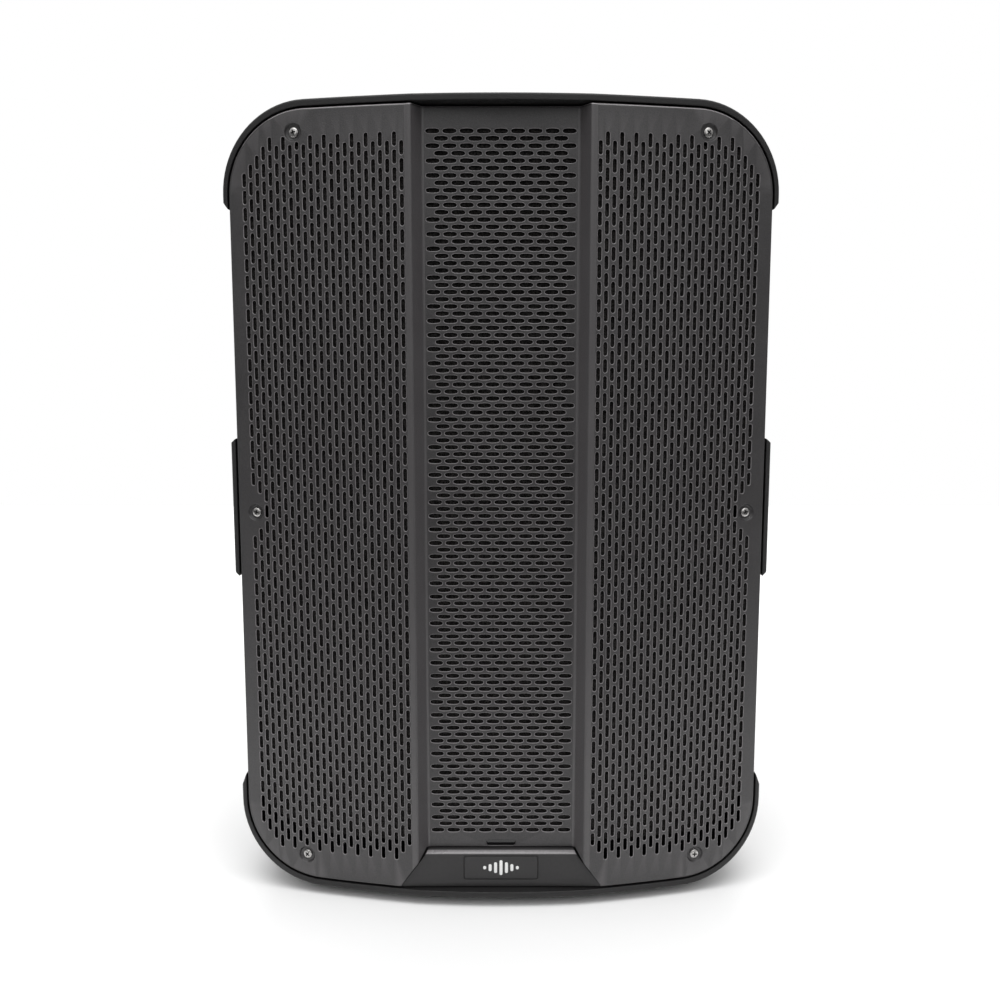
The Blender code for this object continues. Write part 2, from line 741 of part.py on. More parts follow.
def cut_fittings(shell):
    """Openings for the handles, the pole cup and the rigging inserts."""
    for side, sign in (("left", -1), ("right", 1)):
        cut(shell, handle_opening(f"cut_side_handle_{side}", SIDE_HANDLE_SIZE, side_handle_frame(sign)))
        frame = place((sign * INSERT_X, INSERT_Y, top_face_z()))
        cut(shell, insert_hole(f"cut_insert_{side}", frame))
    cut(shell, handle_opening("cut_top_handle", TOP_HANDLE_SIZE, top_handle_frame()))
    cut(shell, insert_hole("cut_insert_rear", place((0, BACK_Y, HEIGHT - REAR_INSERT_DROP), FACING_BACK)))
    radius = POLE_RADIUS_FREE + POLE_CUP_WALL + 2 * FIT
    low = LOW_Z - REACH
    cut(shell, cylinder("cut_pole_cup", radius, low, low + WALL + 2 * REACH, count=ROUND_MEDIUM))


def insert_hole(name, frame):
    return cylinder(name, INSERT_RADIUS + FIT, -WALL - REACH, REACH, at=frame)


def top_face_z():
    return HEIGHT - REAR_STEP_IN


def bottom_face_z():
    return LOW_Z + REAR_STEP_IN


# Handles


def side_handle_frame(sign):
    """On the middle of the tapered side, own X up, own Z straight out of the wall."""
    start = Vector((WIDTH / 2 - TAPER_START_IN, TAPER_START_Y, 0))
    end = Vector((BACK_HALF_WIDTH, BACK_Y - BACK_ROUND, 0))
    along = (end - start).normalized()
    out = Vector((along.y * sign, -along.x, 0))
    middle = (start + end) / 2
    point = (middle.x * sign, middle.y, MIDDLE_Z)
    return place(point, basis((0, 0, 1), out.cross(Vector((0, 0, 1))), out))


def top_handle_frame():
    return place((0, TOP_HANDLE_Y, top_face_z()))


def handle_dish_size(size):
    return [s - 2 * HANDLE_FLANGE for s in size]


def handle_opening(name, size, frame):
    hole = [s + 4 * FIT for s in handle_dish_size(size)]
    return prism(name, rounded(hole, HANDLE_RADIUS), -WALL - REACH, REACH, at=frame)


def make_handle(name, size, depth, look, frame):
    """A moulded dish with a flange on the wall and a grip bar across its long axis."""
    low, high = FIT, HANDLE_FLANGE_THICKNESS
    handle = prism(name, rounded(size, HANDLE_RADIUS + HANDLE_FLANGE), low, high, look, frame)
    outer = handle_dish_size(size)
    dish = prism(f"{name}_dish", rounded(outer, HANDLE_RADIUS), -depth, low + EMBED, at=frame)
    join(handle, dish)
    inner = [s - 2 * HANDLE_FLANGE_THICKNESS for s in outer]
    floor = -depth + HANDLE_FLANGE_THICKNESS
    hollow_radius = HANDLE_RADIUS - HANDLE_FLANGE_THICKNESS
    cut(handle, prism(f"cut_{name}", rounded(inner, hollow_radius), floor, REACH, at=frame))
    bar_frame = frame @ basis((0, 1, 0), (0, 0, 1), (1, 0, 0))
    bar_size = (GRIP_WIDTH, GRIP_THICKNESS)
    outline = [(x, y + high - GRIP_THICKNESS / 2) for x, y in rounded(bar_size, GRIP_THICKNESS / 2 - FIT)]
    half = outer[0] / 2 - EMBED
    join(handle, prism(f"{name}_grip", outline, -half, half, at=bar_frame))
    return handle


def make_handles(looks):
    for side, sign in (("left", -1), ("right", 1)):
        name = f"side_handle_{side}"
        make_handle(name, SIDE_HANDLE_SIZE, SIDE_HANDLE_DEPTH, looks["trim"], side_handle_frame(sign))
    make_handle("top_handle", TOP_HANDLE_SIZE, TOP_HANDLE_DEPTH, looks["trim"], top_handle_frame())


# Grille and what is fixed to it


def plate_outline(grow=0.0):
    low, high = LOW_Z + PLATE_BOTTOM - grow, LOW_Z + PLATE_TOP + grow
    slope = (PLATE_BOTTOM_HALF - PLATE_TOP_HALF) / (PLATE_TOP - PLATE_BOTTOM)
    top, bottom = PLATE_TOP_HALF + grow * (1 - slope), PLATE_BOTTOM_HALF + grow * (1 + slope)
    return [(top, high), (-top, high), (-bottom, low), (bottom, low)]


def grille_loop(inset, depth_at):
    high, low = HEIGHT - RIM_TOP - RIM_GAP - inset, LOW_Z + RIM_TOP + RIM_GAP + inset
    radius = CORNER_RADIUS - RIM_SIDE - RIM_GAP - inset
    return face_loop(GRILLE_HALF_WIDTH - inset, low, high, radius, depth_at, grille_knots())


def make_grille(looks):
    outer = [grille_loop(0, grille_y), grille_loop(0, lambda x: swept_y(x) + GRILLE_FLANGE)]
    grille = solid("grille", *strip_skin(outer), looks["grille"])
    hollow = [
        grille_loop(SHEET, lambda x: grille_y(x) + SHEET),
        grille_loop(SHEET, lambda x: swept_y(x) + GRILLE_FLANGE + REACH),
    ]
    cut(grille, solid("cut_grille_hollow", *strip_skin(hollow)))
    for name, x, z in screw_places():
        frame = on_wing(x, z)
        cup = cylinder(
            f"dimple_{name}", DIMPLE_RADIUS + SHEET, -cup_depth(), -SHEET / 2, at=frame, count=ROUND_SMALL
        )
        join(grille, cup)
        cut(grille, cylinder(f"cut_dimple_{name}", DIMPLE_RADIUS, -DIMPLE_DEPTH, REACH, at=frame))
        hole = cylinder(
            f"cut_hole_{name}", SCREW_HOLE_RADIUS, -cup_depth() - EMBED, 0, at=frame, count=ROUND_TINY
        )
        cut(grille, hole)
    span = (-RIDGE_Y - CHANNEL_DEPTH - GRILLE_FLANGE - REACH, -FRONT_Y + REACH)
    cut(grille, prism("cut_plate_opening", plate_outline(PLATE_GROOVE), *span, at=FACING_FRONT))
    slot_frame = place((0, 0, LOW_Z + SLOT_CENTRE), FACING_FRONT)
    slot_radius = SLOT_SIZE[1] / 2 - FIT
    cut(grille, prism("cut_indicator_slot", rounded(SLOT_SIZE, slot_radius), *span, at=slot_frame))


def make_foam(looks):
    def front(x):
        return grille_y(x) + SHEET + FOAM_GAP

    def loop(depth_at):
        low, high = LOW_Z + FOAM_LOW, HEIGHT - FOAM_TOP_INSET
        return face_loop(GRILLE_HALF_WIDTH - FOAM_INSET, low, high, FOAM_RADIUS, depth_at, grille_knots())

    foam = solid("grille_foam", *strip_skin([loop(front), loop(lambda x: front(x) + FOAM_THICKNESS)]), looks["foam"])
    for name, x, z in screw_places():
        frame = on_wing(x, z)
        cut(foam, cylinder(f"cut_foam_{name}", FOAM_HOLE_RADIUS, -GRILLE_FLANGE, REACH, at=frame))


def make_grille_screws(looks):
    head = SCREW_HEAD_RADIUS
    for name, x, z in screw_places():
        seat = on_wing(x, z) @ Matrix.Translation((0, 0, -DIMPLE_DEPTH + FIT))
        profile = [
            (0, SCREW_HEAD_HEIGHT),
            (head * 0.55, SCREW_HEAD_HEIGHT * 0.88),
            (head, SCREW_HEAD_HEIGHT * 0.35),
            (head, 0),
            (SCREW_SHANK_RADIUS, 0),
            (SCREW_SHANK_RADIUS, -SCREW_LENGTH),
            (0, -SCREW_LENGTH),
        ]
        lathe(f"grille_screw_{name}", profile, looks["screw"], seat, ROUND_TINY)


def make_name_plate(looks):
    front = -(RIDGE_Y + PLATE_SUNK)
    back = front - PLATE_THICKNESS
    outline = plate_outline()
    inner = plate_outline(-EDGE_BEVEL)
    loops = [[(x, y, back) for x, y in outline], [(x, y, front - EDGE_BEVEL) for x, y in outline]]
    loops.append([(x, y, front) for x, y in inner])
    plate = solid("name_plate", *skin(loops), looks["trim"], FACING_FRONT)
    badge_frame = place((0, 0, LOW_Z + BADGE_CENTRE), FACING_FRONT)
    pocket = prism("cut_badge", rounded(BADGE_SIZE, BADGE_RADIUS), front - BADGE_POCKET, front + REACH, at=badge_frame)
    cut(plate, pocket)
    for side, sign in (("left", -1), ("right", 1)):
        peg_frame = place((sign * PLATE_PEG_X, 0, LOW_Z + BADGE_CENTRE), FACING_FRONT)
        span = (-BAFFLE_Y + FIT, back + EMBED)
        join(plate, cylinder(f"plate_peg_{side}", PLATE_PEG_RADIUS, *span, at=peg_frame, count=ROUND_TINY))
    size = [s - 2 * FIT for s in BADGE_SIZE]
    low = front - BADGE_POCKET + FIT
    prism("badge", rounded(size, BADGE_RADIUS - FIT), low, low + BADGE_THICKNESS, looks["badge"], badge_frame)


def make_light_bar(looks):
    """A short light guide behind the indicator slot."""
    size = [s + 2 * LIGHT_BAR_OVERLAP for s in SLOT_SIZE]
    frame = place((0, 0, LOW_Z + SLOT_CENTRE), FACING_FRONT)
    tip = -(RIDGE_Y + CHANNEL_DEPTH + SHEET + FIT)
    outline = rounded(size, size[1] / 2 - FIT)
    prism("indicator_light_bar", outline, tip - LIGHT_BAR_LENGTH, tip, looks["lens"], frame)


# Base and rigging


def make_base(looks):
    bottom = bottom_face_z()
    bore, cup = POLE_RADIUS_FREE, POLE_RADIUS_FREE + POLE_CUP_WALL
    flange_low = bottom - FIT - POLE_FLANGE_THICKNESS
    top = bottom + POLE_CUP_HEIGHT
    profile = [
        (0, top),
        (cup, top),
        (cup, bottom - FIT),
        (POLE_FLANGE_RADIUS, bottom - FIT),
        (POLE_FLANGE_RADIUS, flange_low),
        (bore, flange_low),
        (bore, top - POLE_CUP_WALL),
        (0, top - POLE_CUP_WALL),
    ]
    lathe("pole_cup", profile, looks["trim"])
    places = {
        "front": (FOOT_FRONT[0], FRONT_Y + FOOT_FRONT[1], LOW_Z),
        "rear": (FOOT_REAR[0], BACK_Y - FOOT_REAR[1], bottom),
    }
    for row, (x, y, z) in places.items():
        for side, sign in (("left", -1), ("right", 1)):
            profile = [
                (0, z - FIT),
                (FOOT_RADIUS, z - FIT),
                (FOOT_RADIUS, z - FIT - 2 * EMBED),
                (FOOT_RADIUS - EMBED, EMBED / 2),
                (FOOT_RADIUS - 2 * EMBED, 0),
                (0, 0),
            ]
            lathe(f"foot_{row}_{side}", profile, looks["rubber"], place((sign * x, y, 0)), ROUND_SMALL)


def make_insert(name, look, frame):
    """A threaded bushing through the wall, held by a flange inside."""
    top, flange = -INSERT_SUNK, -WALL - FIT
    profile = [
        (0, -INSERT_LENGTH),
        (INSERT_RADIUS, -INSERT_LENGTH),
        (INSERT_RADIUS, flange - HANDLE_FLANGE_THICKNESS),
        (INSERT_FLANGE_RADIUS, flange - HANDLE_FLANGE_THICKNESS),
        (INSERT_FLANGE_RADIUS, flange),
        (INSERT_RADIUS, flange),
        (INSERT_RADIUS, top),
        (INSERT_BORE, top),
        (INSERT_BORE, -INSERT_LENGTH + WALL),
        (0, -INSERT_LENGTH + WALL),
    ]
    lathe(name, profile, look, frame, ROUND_SMALL)


def make_inserts(looks):
    for side, sign in (("left", -1), ("right", 1)):
        frame = place((sign * INSERT_X, INSERT_Y, top_face_z()))
        make_insert(f"rigging_insert_top_{side}", looks["steel"], frame)
    rear = place((0, BACK_Y, HEIGHT - REAR_INSERT_DROP), FACING_BACK)
    make_insert("rigging_insert_rear", looks["steel"], rear)


# Woofer


def flange_front():
    return -(GASKET_THICKNESS + FLANGE_THICKNESS + 2 * FIT)


def make_woofer_frame(looks, at):
    front = flange_front()
    back = front + FLANGE_THICKNESS
    tub = FRAME_HOLE_RADIUS - 5 * FIT
    rear = BASKET_DEPTH + FRAME_WALL
    profile = [
        (FRAME_RADIUS, front),
        (FRAME_RADIUS, back),
        (tub, back),
        (tub - FRAME_WALL, BAFFLE_THICKNESS + FRAME_WALL),
        (FRAME_NECK_RADIUS + FRAME_WALL, SPIDER_LEDGE_DEPTH - FRAME_WALL / 2),
        (FRAME_NECK_RADIUS, rear),
        (FRAME_BORE, rear),
        (FRAME_BORE, BASKET_DEPTH),
        (SPIDER_LEDGE_RADIUS, BASKET_DEPTH),
        (SPIDER_LEDGE_RADIUS, SPIDER_LEDGE_DEPTH),
        (SPIDER_RADIUS + FIT, SPIDER_LEDGE_DEPTH),
        (SPIDER_RADIUS + FIT, SPIDER_LEDGE_DEPTH - FRAME_WALL),
        (tub - 2 * FRAME_WALL, BAFFLE_THICKNESS + FRAME_WALL),
        (FLANGE_INNER_RADIUS, back),
        (FLANGE_INNER_RADIUS, front),
    ]
    frame = lathe("woofer_frame", profile, looks["basket"], at, ROUND_FINE)
    low, high = WINDOW_DEPTHS
    reach = FRAME_RADIUS
    for k in range(WINDOW_COUNT):
        turn = at @ Matrix.Rotation(math.tau * k / WINDOW_COUNT, 4, "Z")
        middle = turn @ Matrix.Translation((reach, 0, 0))
        length = 2 * (reach - SPIDER_RADIUS + WALL)
        cut(frame, box(f"cut_basket_{k}", (length, WINDOW_WIDTH), low, high, at=middle))


def roll_profile(inner, outer, base, thickness, steps):
    """A closed profile of a half-roll that stands forward of its two flat lips."""
    middle, radius = (inner + outer) / 2, (outer - inner) / 2
    over, under = [], []
    for k in range(steps + 1):
        angle = math.pi * k / steps
        over.append((middle + radius * math.cos(angle), base - thickness - radius * math.sin(angle)))
        small = radius - thickness
        under.append((middle - small * math.cos(angle), base - small * math.sin(angle)))
    return over, under


def make_woofer_soft(looks, at):
    """The surround, the spider and the gasket."""
    lip = 0.010
    base = flange_front() - FIT
    outer = FLANGE_INNER_RADIUS
    inner = outer - ROLL_WIDTH
    over, under = roll_profile(inner, outer, base, SURROUND_THICKNESS, 4)
    profile = [(outer + lip, base), (outer + lip, base - SURROUND_THICKNESS), *over]
    profile += [(inner - lip, base - SURROUND_THICKNESS), (inner - lip, base), *under]
    lathe("woofer_surround", profile, looks["rubber"], at, ROUND_FINE)
    waves = 3
    high, low = SPIDER_LEDGE_DEPTH - FIT - SURROUND_THICKNESS, SPIDER_LEDGE_DEPTH - FIT
    inside = COIL_RADIUS + FORMER_THICKNESS + FIT
    edge = SPIDER_LEDGE_RADIUS + FIT
    knots = []
    for k in range(2 * waves):
        radius = edge - (edge - inside - SURROUND_THICKNESS) * k / (2 * waves - 1)
        knots.append((radius, 0.0 if k % 2 == 0 else -3 * SURROUND_THICKNESS))
    top = [(SPIDER_RADIUS, high)] + [(r, high + rise) for r, rise in knots] + [(inside, high)]
    bottom = [(inside, low)] + [(r, low + rise) for r, rise in reversed(knots)] + [(SPIDER_RADIUS, low)]
    lathe("woofer_spider", top + bottom, looks["cloth"], at, ROUND_FINE)
    ring = [(FRAME_RADIUS, -FIT), (FRAME_RADIUS, -FIT - GASKET_THICKNESS)]
    bore = FRAME_HOLE_RADIUS
    ring += [(bore, -FIT - GASKET_THICKNESS), (bore, -FIT)]
    lathe("woofer_gasket", ring, looks["foam"], at, ROUND_FINE)


def make_woofer_moving(looks, at):
    """Cone, dust cap and voice coil, which move together."""
    lip = flange_front() + FIT
    cone_edge = FLANGE_INNER_RADIUS - ROLL_WIDTH - FIT
    neck_depth = lip + CONE_DEPTH
    neck = COIL_RADIUS + FORMER_THICKNESS + FIT
    bend = (0.42, 0.50)
    bend_radius = cone_edge + (neck - cone_edge) * bend[0]
    bend_depth = lip + CONE_DEPTH * bend[1]
    thick = CONE_THICKNESS
    profile = [
        (cone_edge, lip),
        (cone_edge, lip + thick),
        (bend_radius, bend_depth + thick),
        (neck + thick, neck_depth),
        (neck, neck_depth),
        (neck, neck_depth - 2 * thick),
        (bend_radius, bend_depth - thick / 2),
        (cone_edge - WALL, lip),
    ]
    lathe("woofer_cone", profile, looks["paper"], at, ROUND_FINE)
    share = (DUST_CAP_RADIUS - neck) / (bend_radius - neck)
    base = neck_depth + (bend_depth - neck_depth) * share - 3 * thick
    steps = 4
    over = [(0, base - DUST_CAP_RISE)]
    under = []
    for k in range(1, steps + 1):
        angle = math.pi / 2 * k / steps
        over.append((DUST_CAP_RADIUS * math.sin(angle), base - DUST_CAP_RISE * math.cos(angle)))
    for k in range(steps, 0, -1):
        angle = math.pi / 2 * k / steps
        radius, rise = DUST_CAP_RADIUS - thick, DUST_CAP_RISE - thick
        under.append((radius * math.sin(angle), base - rise * math.cos(angle)))
    under.append((0, base - DUST_CAP_RISE + thick))
    lathe("dust_cap", over + under, looks["paper"], at, ROUND_MEDIUM)
    inner, outer = COIL_RADIUS, COIL_RADIUS + FORMER_THICKNESS
    wound = outer + WINDING_THICKNESS
    top_plate = BASKET_DEPTH + FRAME_WALL + FIT
    former = [
        (inner, neck_depth - WALL),
        (outer, neck_depth - WALL),
        (outer, top_plate),
        (wound, top_plate),
        (wound, top_plate + TOP_PLATE_THICKNESS + WALL),
        (outer, top_plate + TOP_PLATE_THICKNESS + WALL),
        (outer, top_plate + TOP_PLATE_THICKNESS + 2 * WALL),
        (inner, top_plate + TOP_PLATE_THICKNESS + 2 * WALL),
    ]
    lathe("voice_coil", former, looks["former"], at, ROUND_MEDIUM)


def ring_profile(inner, outer, low, high):
    return [(inner, low), (outer, low), (outer, high), (inner, high)]


def make_woofer_motor(looks, at):
    top = BASKET_DEPTH + FRAME_WALL + FIT
    bore = COIL_RADIUS + FORMER_THICKNESS + WINDING_THICKNESS + COIL_GAP
    plate_back = top + TOP_PLATE_THICKNESS
    lathe("woofer_top_plate", ring_profile(bore, TOP_PLATE_RADIUS, top, plate_back), looks["steel"], at)
    magnet_top = plate_back + FIT
    magnet_back = magnet_top + MAGNET_THICKNESS
    lathe("woofer_magnet", ring_profile(MAGNET_BORE, MAGNET_RADIUS, magnet_top, magnet_back), looks["ferrite"], at)
    yoke_top = magnet_back + FIT
    yoke_back = yoke_top + YOKE_THICKNESS
    profile = [
        (POLE_VENT_RADIUS, top),
        (POLE_RADIUS, top),
        (POLE_RADIUS, yoke_top),
        (YOKE_RADIUS, yoke_top),
        (YOKE_RADIUS, yoke_back),
        (POLE_VENT_RADIUS, yoke_back),
    ]
    lathe("woofer_yoke", profile, looks["steel"], at)


def make_woofer(looks):
    at = place(WOOFER_CENTRE, INTO_BACK)
    make_woofer_frame(looks, at)
    make_woofer_soft(looks, at)
    make_woofer_moving(looks, at)
    make_woofer_motor(looks, at)


# Horn and compression driver


def super_loop(half_x, half_y, power, depth, count):
    """A loop between a near-rectangle (high power) and an ellipse (power 2)."""
    loop = []
    for k in range(count):
        angle = math.tau * (k + 0.5) / count
        c, s = math.cos(angle), math.sin(angle)
        x = half_x * math.copysign(abs(c) ** (2 / power), c)
        y = half_y * math.copysign(abs(s) ** (2 / power), s)
        loop.append((x, y, depth))
    return loop


def horn_section(share, extra):
    """The horn's cross-section from its throat (share 0) to its mouth (share 1)."""
    half_x = THROAT_RADIUS + (HORN_MOUTH[0] / 2 - THROAT_RADIUS) * share**1.5
    half_y = THROAT_RADIUS + (HORN_MOUTH[1] / 2 - THROAT_RADIUS) * share**1.2
    power = 2 + 6 * share
    front = -(HORN_FLANGE_THICKNESS + FIT)
    depth = HORN_LENGTH + (front - HORN_LENGTH) * share
    return super_loop(half_x + extra, half_y + extra, power, depth, ROUND_MEDIUM)


def make_horn(looks):
    front, back = -(HORN_FLANGE_THICKNESS + FIT), -FIT
    shares = [k / 5 for k in range(6)]
    loops = [horn_section(share, 0) for share in reversed(shares)]
    for depth in (HORN_LENGTH, HORN_LENGTH - WALL):
        loops.append(super_loop(THROAT_FLANGE_RADIUS, THROAT_FLANGE_RADIUS, 2, depth, ROUND_MEDIUM))
    loops += [horn_section(share, HORN_WALL) for share in shares[1:-1]]
    neck = [s / 2 + HORN_WALL for s in HORN_MOUTH]
    loops.append(super_loop(*neck, 8, back, ROUND_MEDIUM))
    flange = [s / 2 for s in HORN_FLANGE]
    loops += [super_loop(*flange, 8, depth, ROUND_MEDIUM) for depth in (back, front)]
    solid("horn", *skin(loops, closed=True), looks["horn"], place(HORN_CENTRE, INTO_BACK))


def make_compression_driver(looks):
    at = place(HORN_CENTRE + Vector((0, HORN_LENGTH + FIT, 0)), INTO_BACK)
    floor = DRIVER_LENGTH - DRIVER_RECESS
    body = [
        (THROAT_RADIUS, 0),
        (DRIVER_RADIUS, 0),
        (DRIVER_RADIUS, DRIVER_LENGTH),
        (DRIVER_RECESS_RADIUS, DRIVER_LENGTH),
        (DRIVER_RECESS_RADIUS, floor),
        (THROAT_RADIUS + DIAPHRAGM_TRAVEL, floor),
    ]
    lathe("compression_driver", body, looks["ferrite"], at)
    seat = floor + EMBED
    thin = 2 * DIAPHRAGM_TRAVEL
    rise = DRIVER_RECESS - 2 * EMBED - DIAPHRAGM_TRAVEL
    steps = 4
    angles = [math.pi / 2 * k / steps for k in range(steps + 1)]
    over = [(DIAPHRAGM_RADIUS * math.sin(a), seat + rise * math.cos(a)) for a in angles]
    hollow_radius, hollow_rise = DIAPHRAGM_RADIUS - thin, rise - thin
    under = [(hollow_radius * math.sin(a), seat + hollow_rise * math.cos(a)) for a in reversed(angles[1:])]
    ring = DRIVER_RECESS_RADIUS - EMBED
    dome = over[:-1] + [(DIAPHRAGM_RADIUS, seat + thin), (ring, seat + thin), (ring, seat)]
    lathe("hf_diaphragm", dome + under + [(0, seat + hollow_rise)], looks["former"], at, ROUND_SMALL)
    back = DRIVER_LENGTH + FIT
    cap = [(0, back), (DRIVER_RADIUS, back), (DRIVER_RADIUS - EMBED, back + CAP_THICKNESS), (0, back + CAP_THICKNESS)]
    lathe("driver_cap", cap, looks["horn"], at)


def port_frame(sign):
    return place((sign * PORT_X, BAFFLE_Y, HEIGHT - PORT_DROP), INTO_BACK)


def make_ports(looks):
    front = -(PORT_FLANGE_THICKNESS + FIT)
    outer = PORT_RADIUS + PORT_WALL
    profile = [
        (PORT_RADIUS + 2 * PORT_WALL, front),
        (PORT_FLANGE_RADIUS, front),
        (PORT_FLANGE_RADIUS, -FIT),
        (outer, -FIT),
        (outer, PORT_LENGTH),
        (PORT_RADIUS, PORT_LENGTH),
        (PORT_RADIUS, PORT_RADIUS / 3),
        (PORT_RADIUS + PORT_WALL / 2, 0),
    ]
    for side, sign in (("left", -1), ("right", 1)):
        lathe(f"port_tube_{side}", profile, looks["horn"], port_frame(sign))


# Amplifier panel


def panel_frame(x, rise, y=PLATE_OUTER_Y):
    """On the panel's outer face, x to the right as seen from behind, own Z out of the back."""
    return place((-x, y, PANEL_Z + rise), FACING_BACK)


def make_panel(looks):
    inner = PLATE_INNER_Y - PLATE_OUTER_Y
    size = PANEL_SIZE
    plate = prism("amp_plate", rounded(size, PANEL_RADIUS - PANEL_CLEARANCE), inner, 0, looks["panel"], panel_frame(0, 0))
    through = (inner - REACH, REACH)
    for k, x in enumerate(KNOB_X):
        tool = cylinder(f"cut_shaft_{k}", SHAFT_HOLE_RADIUS, *through, at=panel_frame(x, -KNOB_DROP), count=ROUND_TINY)
        cut(plate, tool)
    for k, x in enumerate(BUTTON_X):
        tool = cylinder(f"cut_button_{k}", BUTTON_HOLE_RADIUS, *through, at=panel_frame(x, -BUTTON_DROP), count=ROUND_TINY)
        cut(plate, tool)
    for k, x in enumerate(SOCKET_X):
        cut(plate, cylinder(f"cut_socket_{k}", SOCKET_HOLE_RADIUS, *through, at=panel_frame(x, -SOCKET_DROP)))
    hole = [s + 4 * FIT for s in INLET_BODY]
    cut(plate, box("cut_inlet", hole, *through, at=panel_frame(*INLET_CENTRE)))
    low = LEDGE_Y + FIT - PLATE_OUTER_Y
    gasket = prism(
        "amp_gasket", rounded(size, PANEL_RADIUS - PANEL_CLEARANCE), low, low + PANEL_GASKET, looks["foam"], panel_frame(0, 0)
    )
    window = [s - 2 * PANEL_LEDGE for s in size]
    cut(gasket, prism("cut_gasket", rounded(window, PANEL_RADIUS), low - REACH, REACH, at=panel_frame(0, 0)))


def make_heatsink(looks):
    """Upright fins on a common base, as one extrusion."""
    width, height = HEATSINK_SIZE
    pitch = width / HEATSINK_FINS
    fin = pitch * FIN_SHARE
    outline = [(-width / 2, 0), (width / 2, 0)]
    for k in reversed(range(HEATSINK_FINS)):
        middle = -width / 2 + pitch * (k + 0.5)
        right, left = middle + fin / 2, middle - fin / 2
        if k == HEATSINK_FINS - 1:
            right = width / 2
        if k == 0:
            left = -width / 2
        for x, high in ((right, False), (right, True), (left, True), (left, False)):
            if high or abs(x) < width / 2:
                outline.append((x, HEATSINK_DEPTH if high else HEATSINK_BASE))
    upright = basis((1, 0, 0), (0, 0, 1), (0, -1, 0))
    frame = panel_frame(0, HEATSINK_RAISE, PLATE_OUTER_Y + FIT) @ upright
    prism("heatsink", outline, -height / 2, height / 2, looks["aluminium"], frame)


def make_boards(looks):
    inner = PLATE_INNER_Y
    frame = panel_frame(0, HEATSINK_RAISE, inner)
    top = -AMP_BOARD_BACK
    board = box("amp_board", AMP_BOARD_SIZE, top - BOARD_THICKNESS, top, looks["board"], frame)
    half_x, half_y = (s / 2 - 2 * WALL for s in AMP_BOARD_SIZE)
    for k, (sx, sy) in enumerate(((1, 1), (-1, 1), (-1, -1), (1, -1))):
        post = frame @ Matrix.Translation((sx * half_x, sy * half_y, 0))
        join(board, cylinder(f"board_post_{k}", WALL * 0.6, top - EMBED / 2, -FIT, at=post, count=ROUND_TINY))
    back = top - BOARD_THICKNESS
    join(board, box("transformer", TRANSFORMER_SIZE, back - TRANSFORMER_HEIGHT, back + EMBED / 2, at=frame))
    for k, sign in enumerate((-1, 1)):
        x = sign * (TRANSFORMER_SIZE[0] / 2 + 2 * CAPACITOR_RADIUS)
        post = frame @ Matrix.Translation((x, CAPACITOR_RADIUS, 0))
        span = (back - CAPACITOR_HEIGHT, back + EMBED / 2)
        join(board, cylinder(f"capacitor_{k}", CAPACITOR_RADIUS, *span, at=post, count=ROUND_TINY))
    make_control_board(looks, inner)


def make_control_board(looks, inner):
    """The board behind the knobs, with the potentiometers and the push switches on it."""
    rise = -(KNOB_DROP + BUTTON_DROP) / 2
    top = -CONTROL_BOARD_BACK
    size = CONTROL_BOARD_SIZE
    board = box("control_board", size, top - BOARD_THICKNESS, top, looks["board"], panel_frame(0, rise, inner))
    for k, x in enumerate(KNOB_X):
        frame = panel_frame(x, -KNOB_DROP, inner)
        pot_top = top + POT_HEIGHT
        join(board, box(f"pot_{k}", (POT_SIZE, POT_SIZE), top - EMBED / 2, pot_top, at=frame))
        tip = PANEL_THICKNESS + KNOB_GAP + KNOB_BORE_DEPTH - EMBED
        join(board, cylinder(f"shaft_{k}", SHAFT_RADIUS, pot_top - EMBED, tip, at=frame, count=ROUND_TINY))
    for k, x in enumerate(BUTTON_X):
        frame = panel_frame(x, -BUTTON_DROP, inner)
        high = top + POT_HEIGHT - 2 * BUTTON_HEIGHT
        join(board, box(f"switch_{k}", (POT_SIZE * 0.7,) * 2, top - EMBED / 2, high, at=frame))


def make_knobs(looks):
    names = ("gain_knob_1", "gain_knob_2", "treble_knob", "bass_knob")
    for name, x in zip(names, KNOB_X):
        frame = panel_frame(x, -KNOB_DROP)
        bore = SHAFT_RADIUS + FIT
        top = KNOB_GAP + KNOB_HEIGHT
        profile = [
            (0, KNOB_GAP + KNOB_BORE_DEPTH),
            (bore, KNOB_GAP + KNOB_BORE_DEPTH),
            (bore, KNOB_GAP),
            (KNOB_RADIUS, KNOB_GAP),
            (KNOB_RADIUS, KNOB_GAP + KNOB_HEIGHT / 4),
            (KNOB_RADIUS * 0.84, KNOB_GAP + KNOB_HEIGHT / 3),
            (KNOB_RADIUS * 0.76, top - EMBED),
            (KNOB_RADIUS * 0.68, top),
            (0, top),
        ]
        knob = lathe(name, profile, looks["knob"], frame, ROUND_SMALL)
        length = KNOB_RADIUS * 0.6
        at = frame @ Matrix.Translation((0, length / 2, 0))
        join(knob, box(f"{name}_pointer", (POINTER_WIDTH, length), top - EMBED, top + POINTER_RISE, at=at))


def make_buttons(looks):
    for k, x in enumerate(BUTTON_X, 1):
        frame = panel_frame(x, -BUTTON_DROP)
        profile = [
            (0, -BUTTON_STEM),
            (BUTTON_RADIUS, -BUTTON_STEM),
            (BUTTON_RADIUS, BUTTON_HEIGHT - EMBED / 2),
            (BUTTON_RADIUS - EMBED / 2, BUTTON_HEIGHT),
            (0, BUTTON_HEIGHT),
        ]
        lathe(f"mic_line_button_{k}", profile, looks["button"], frame, ROUND_TINY)


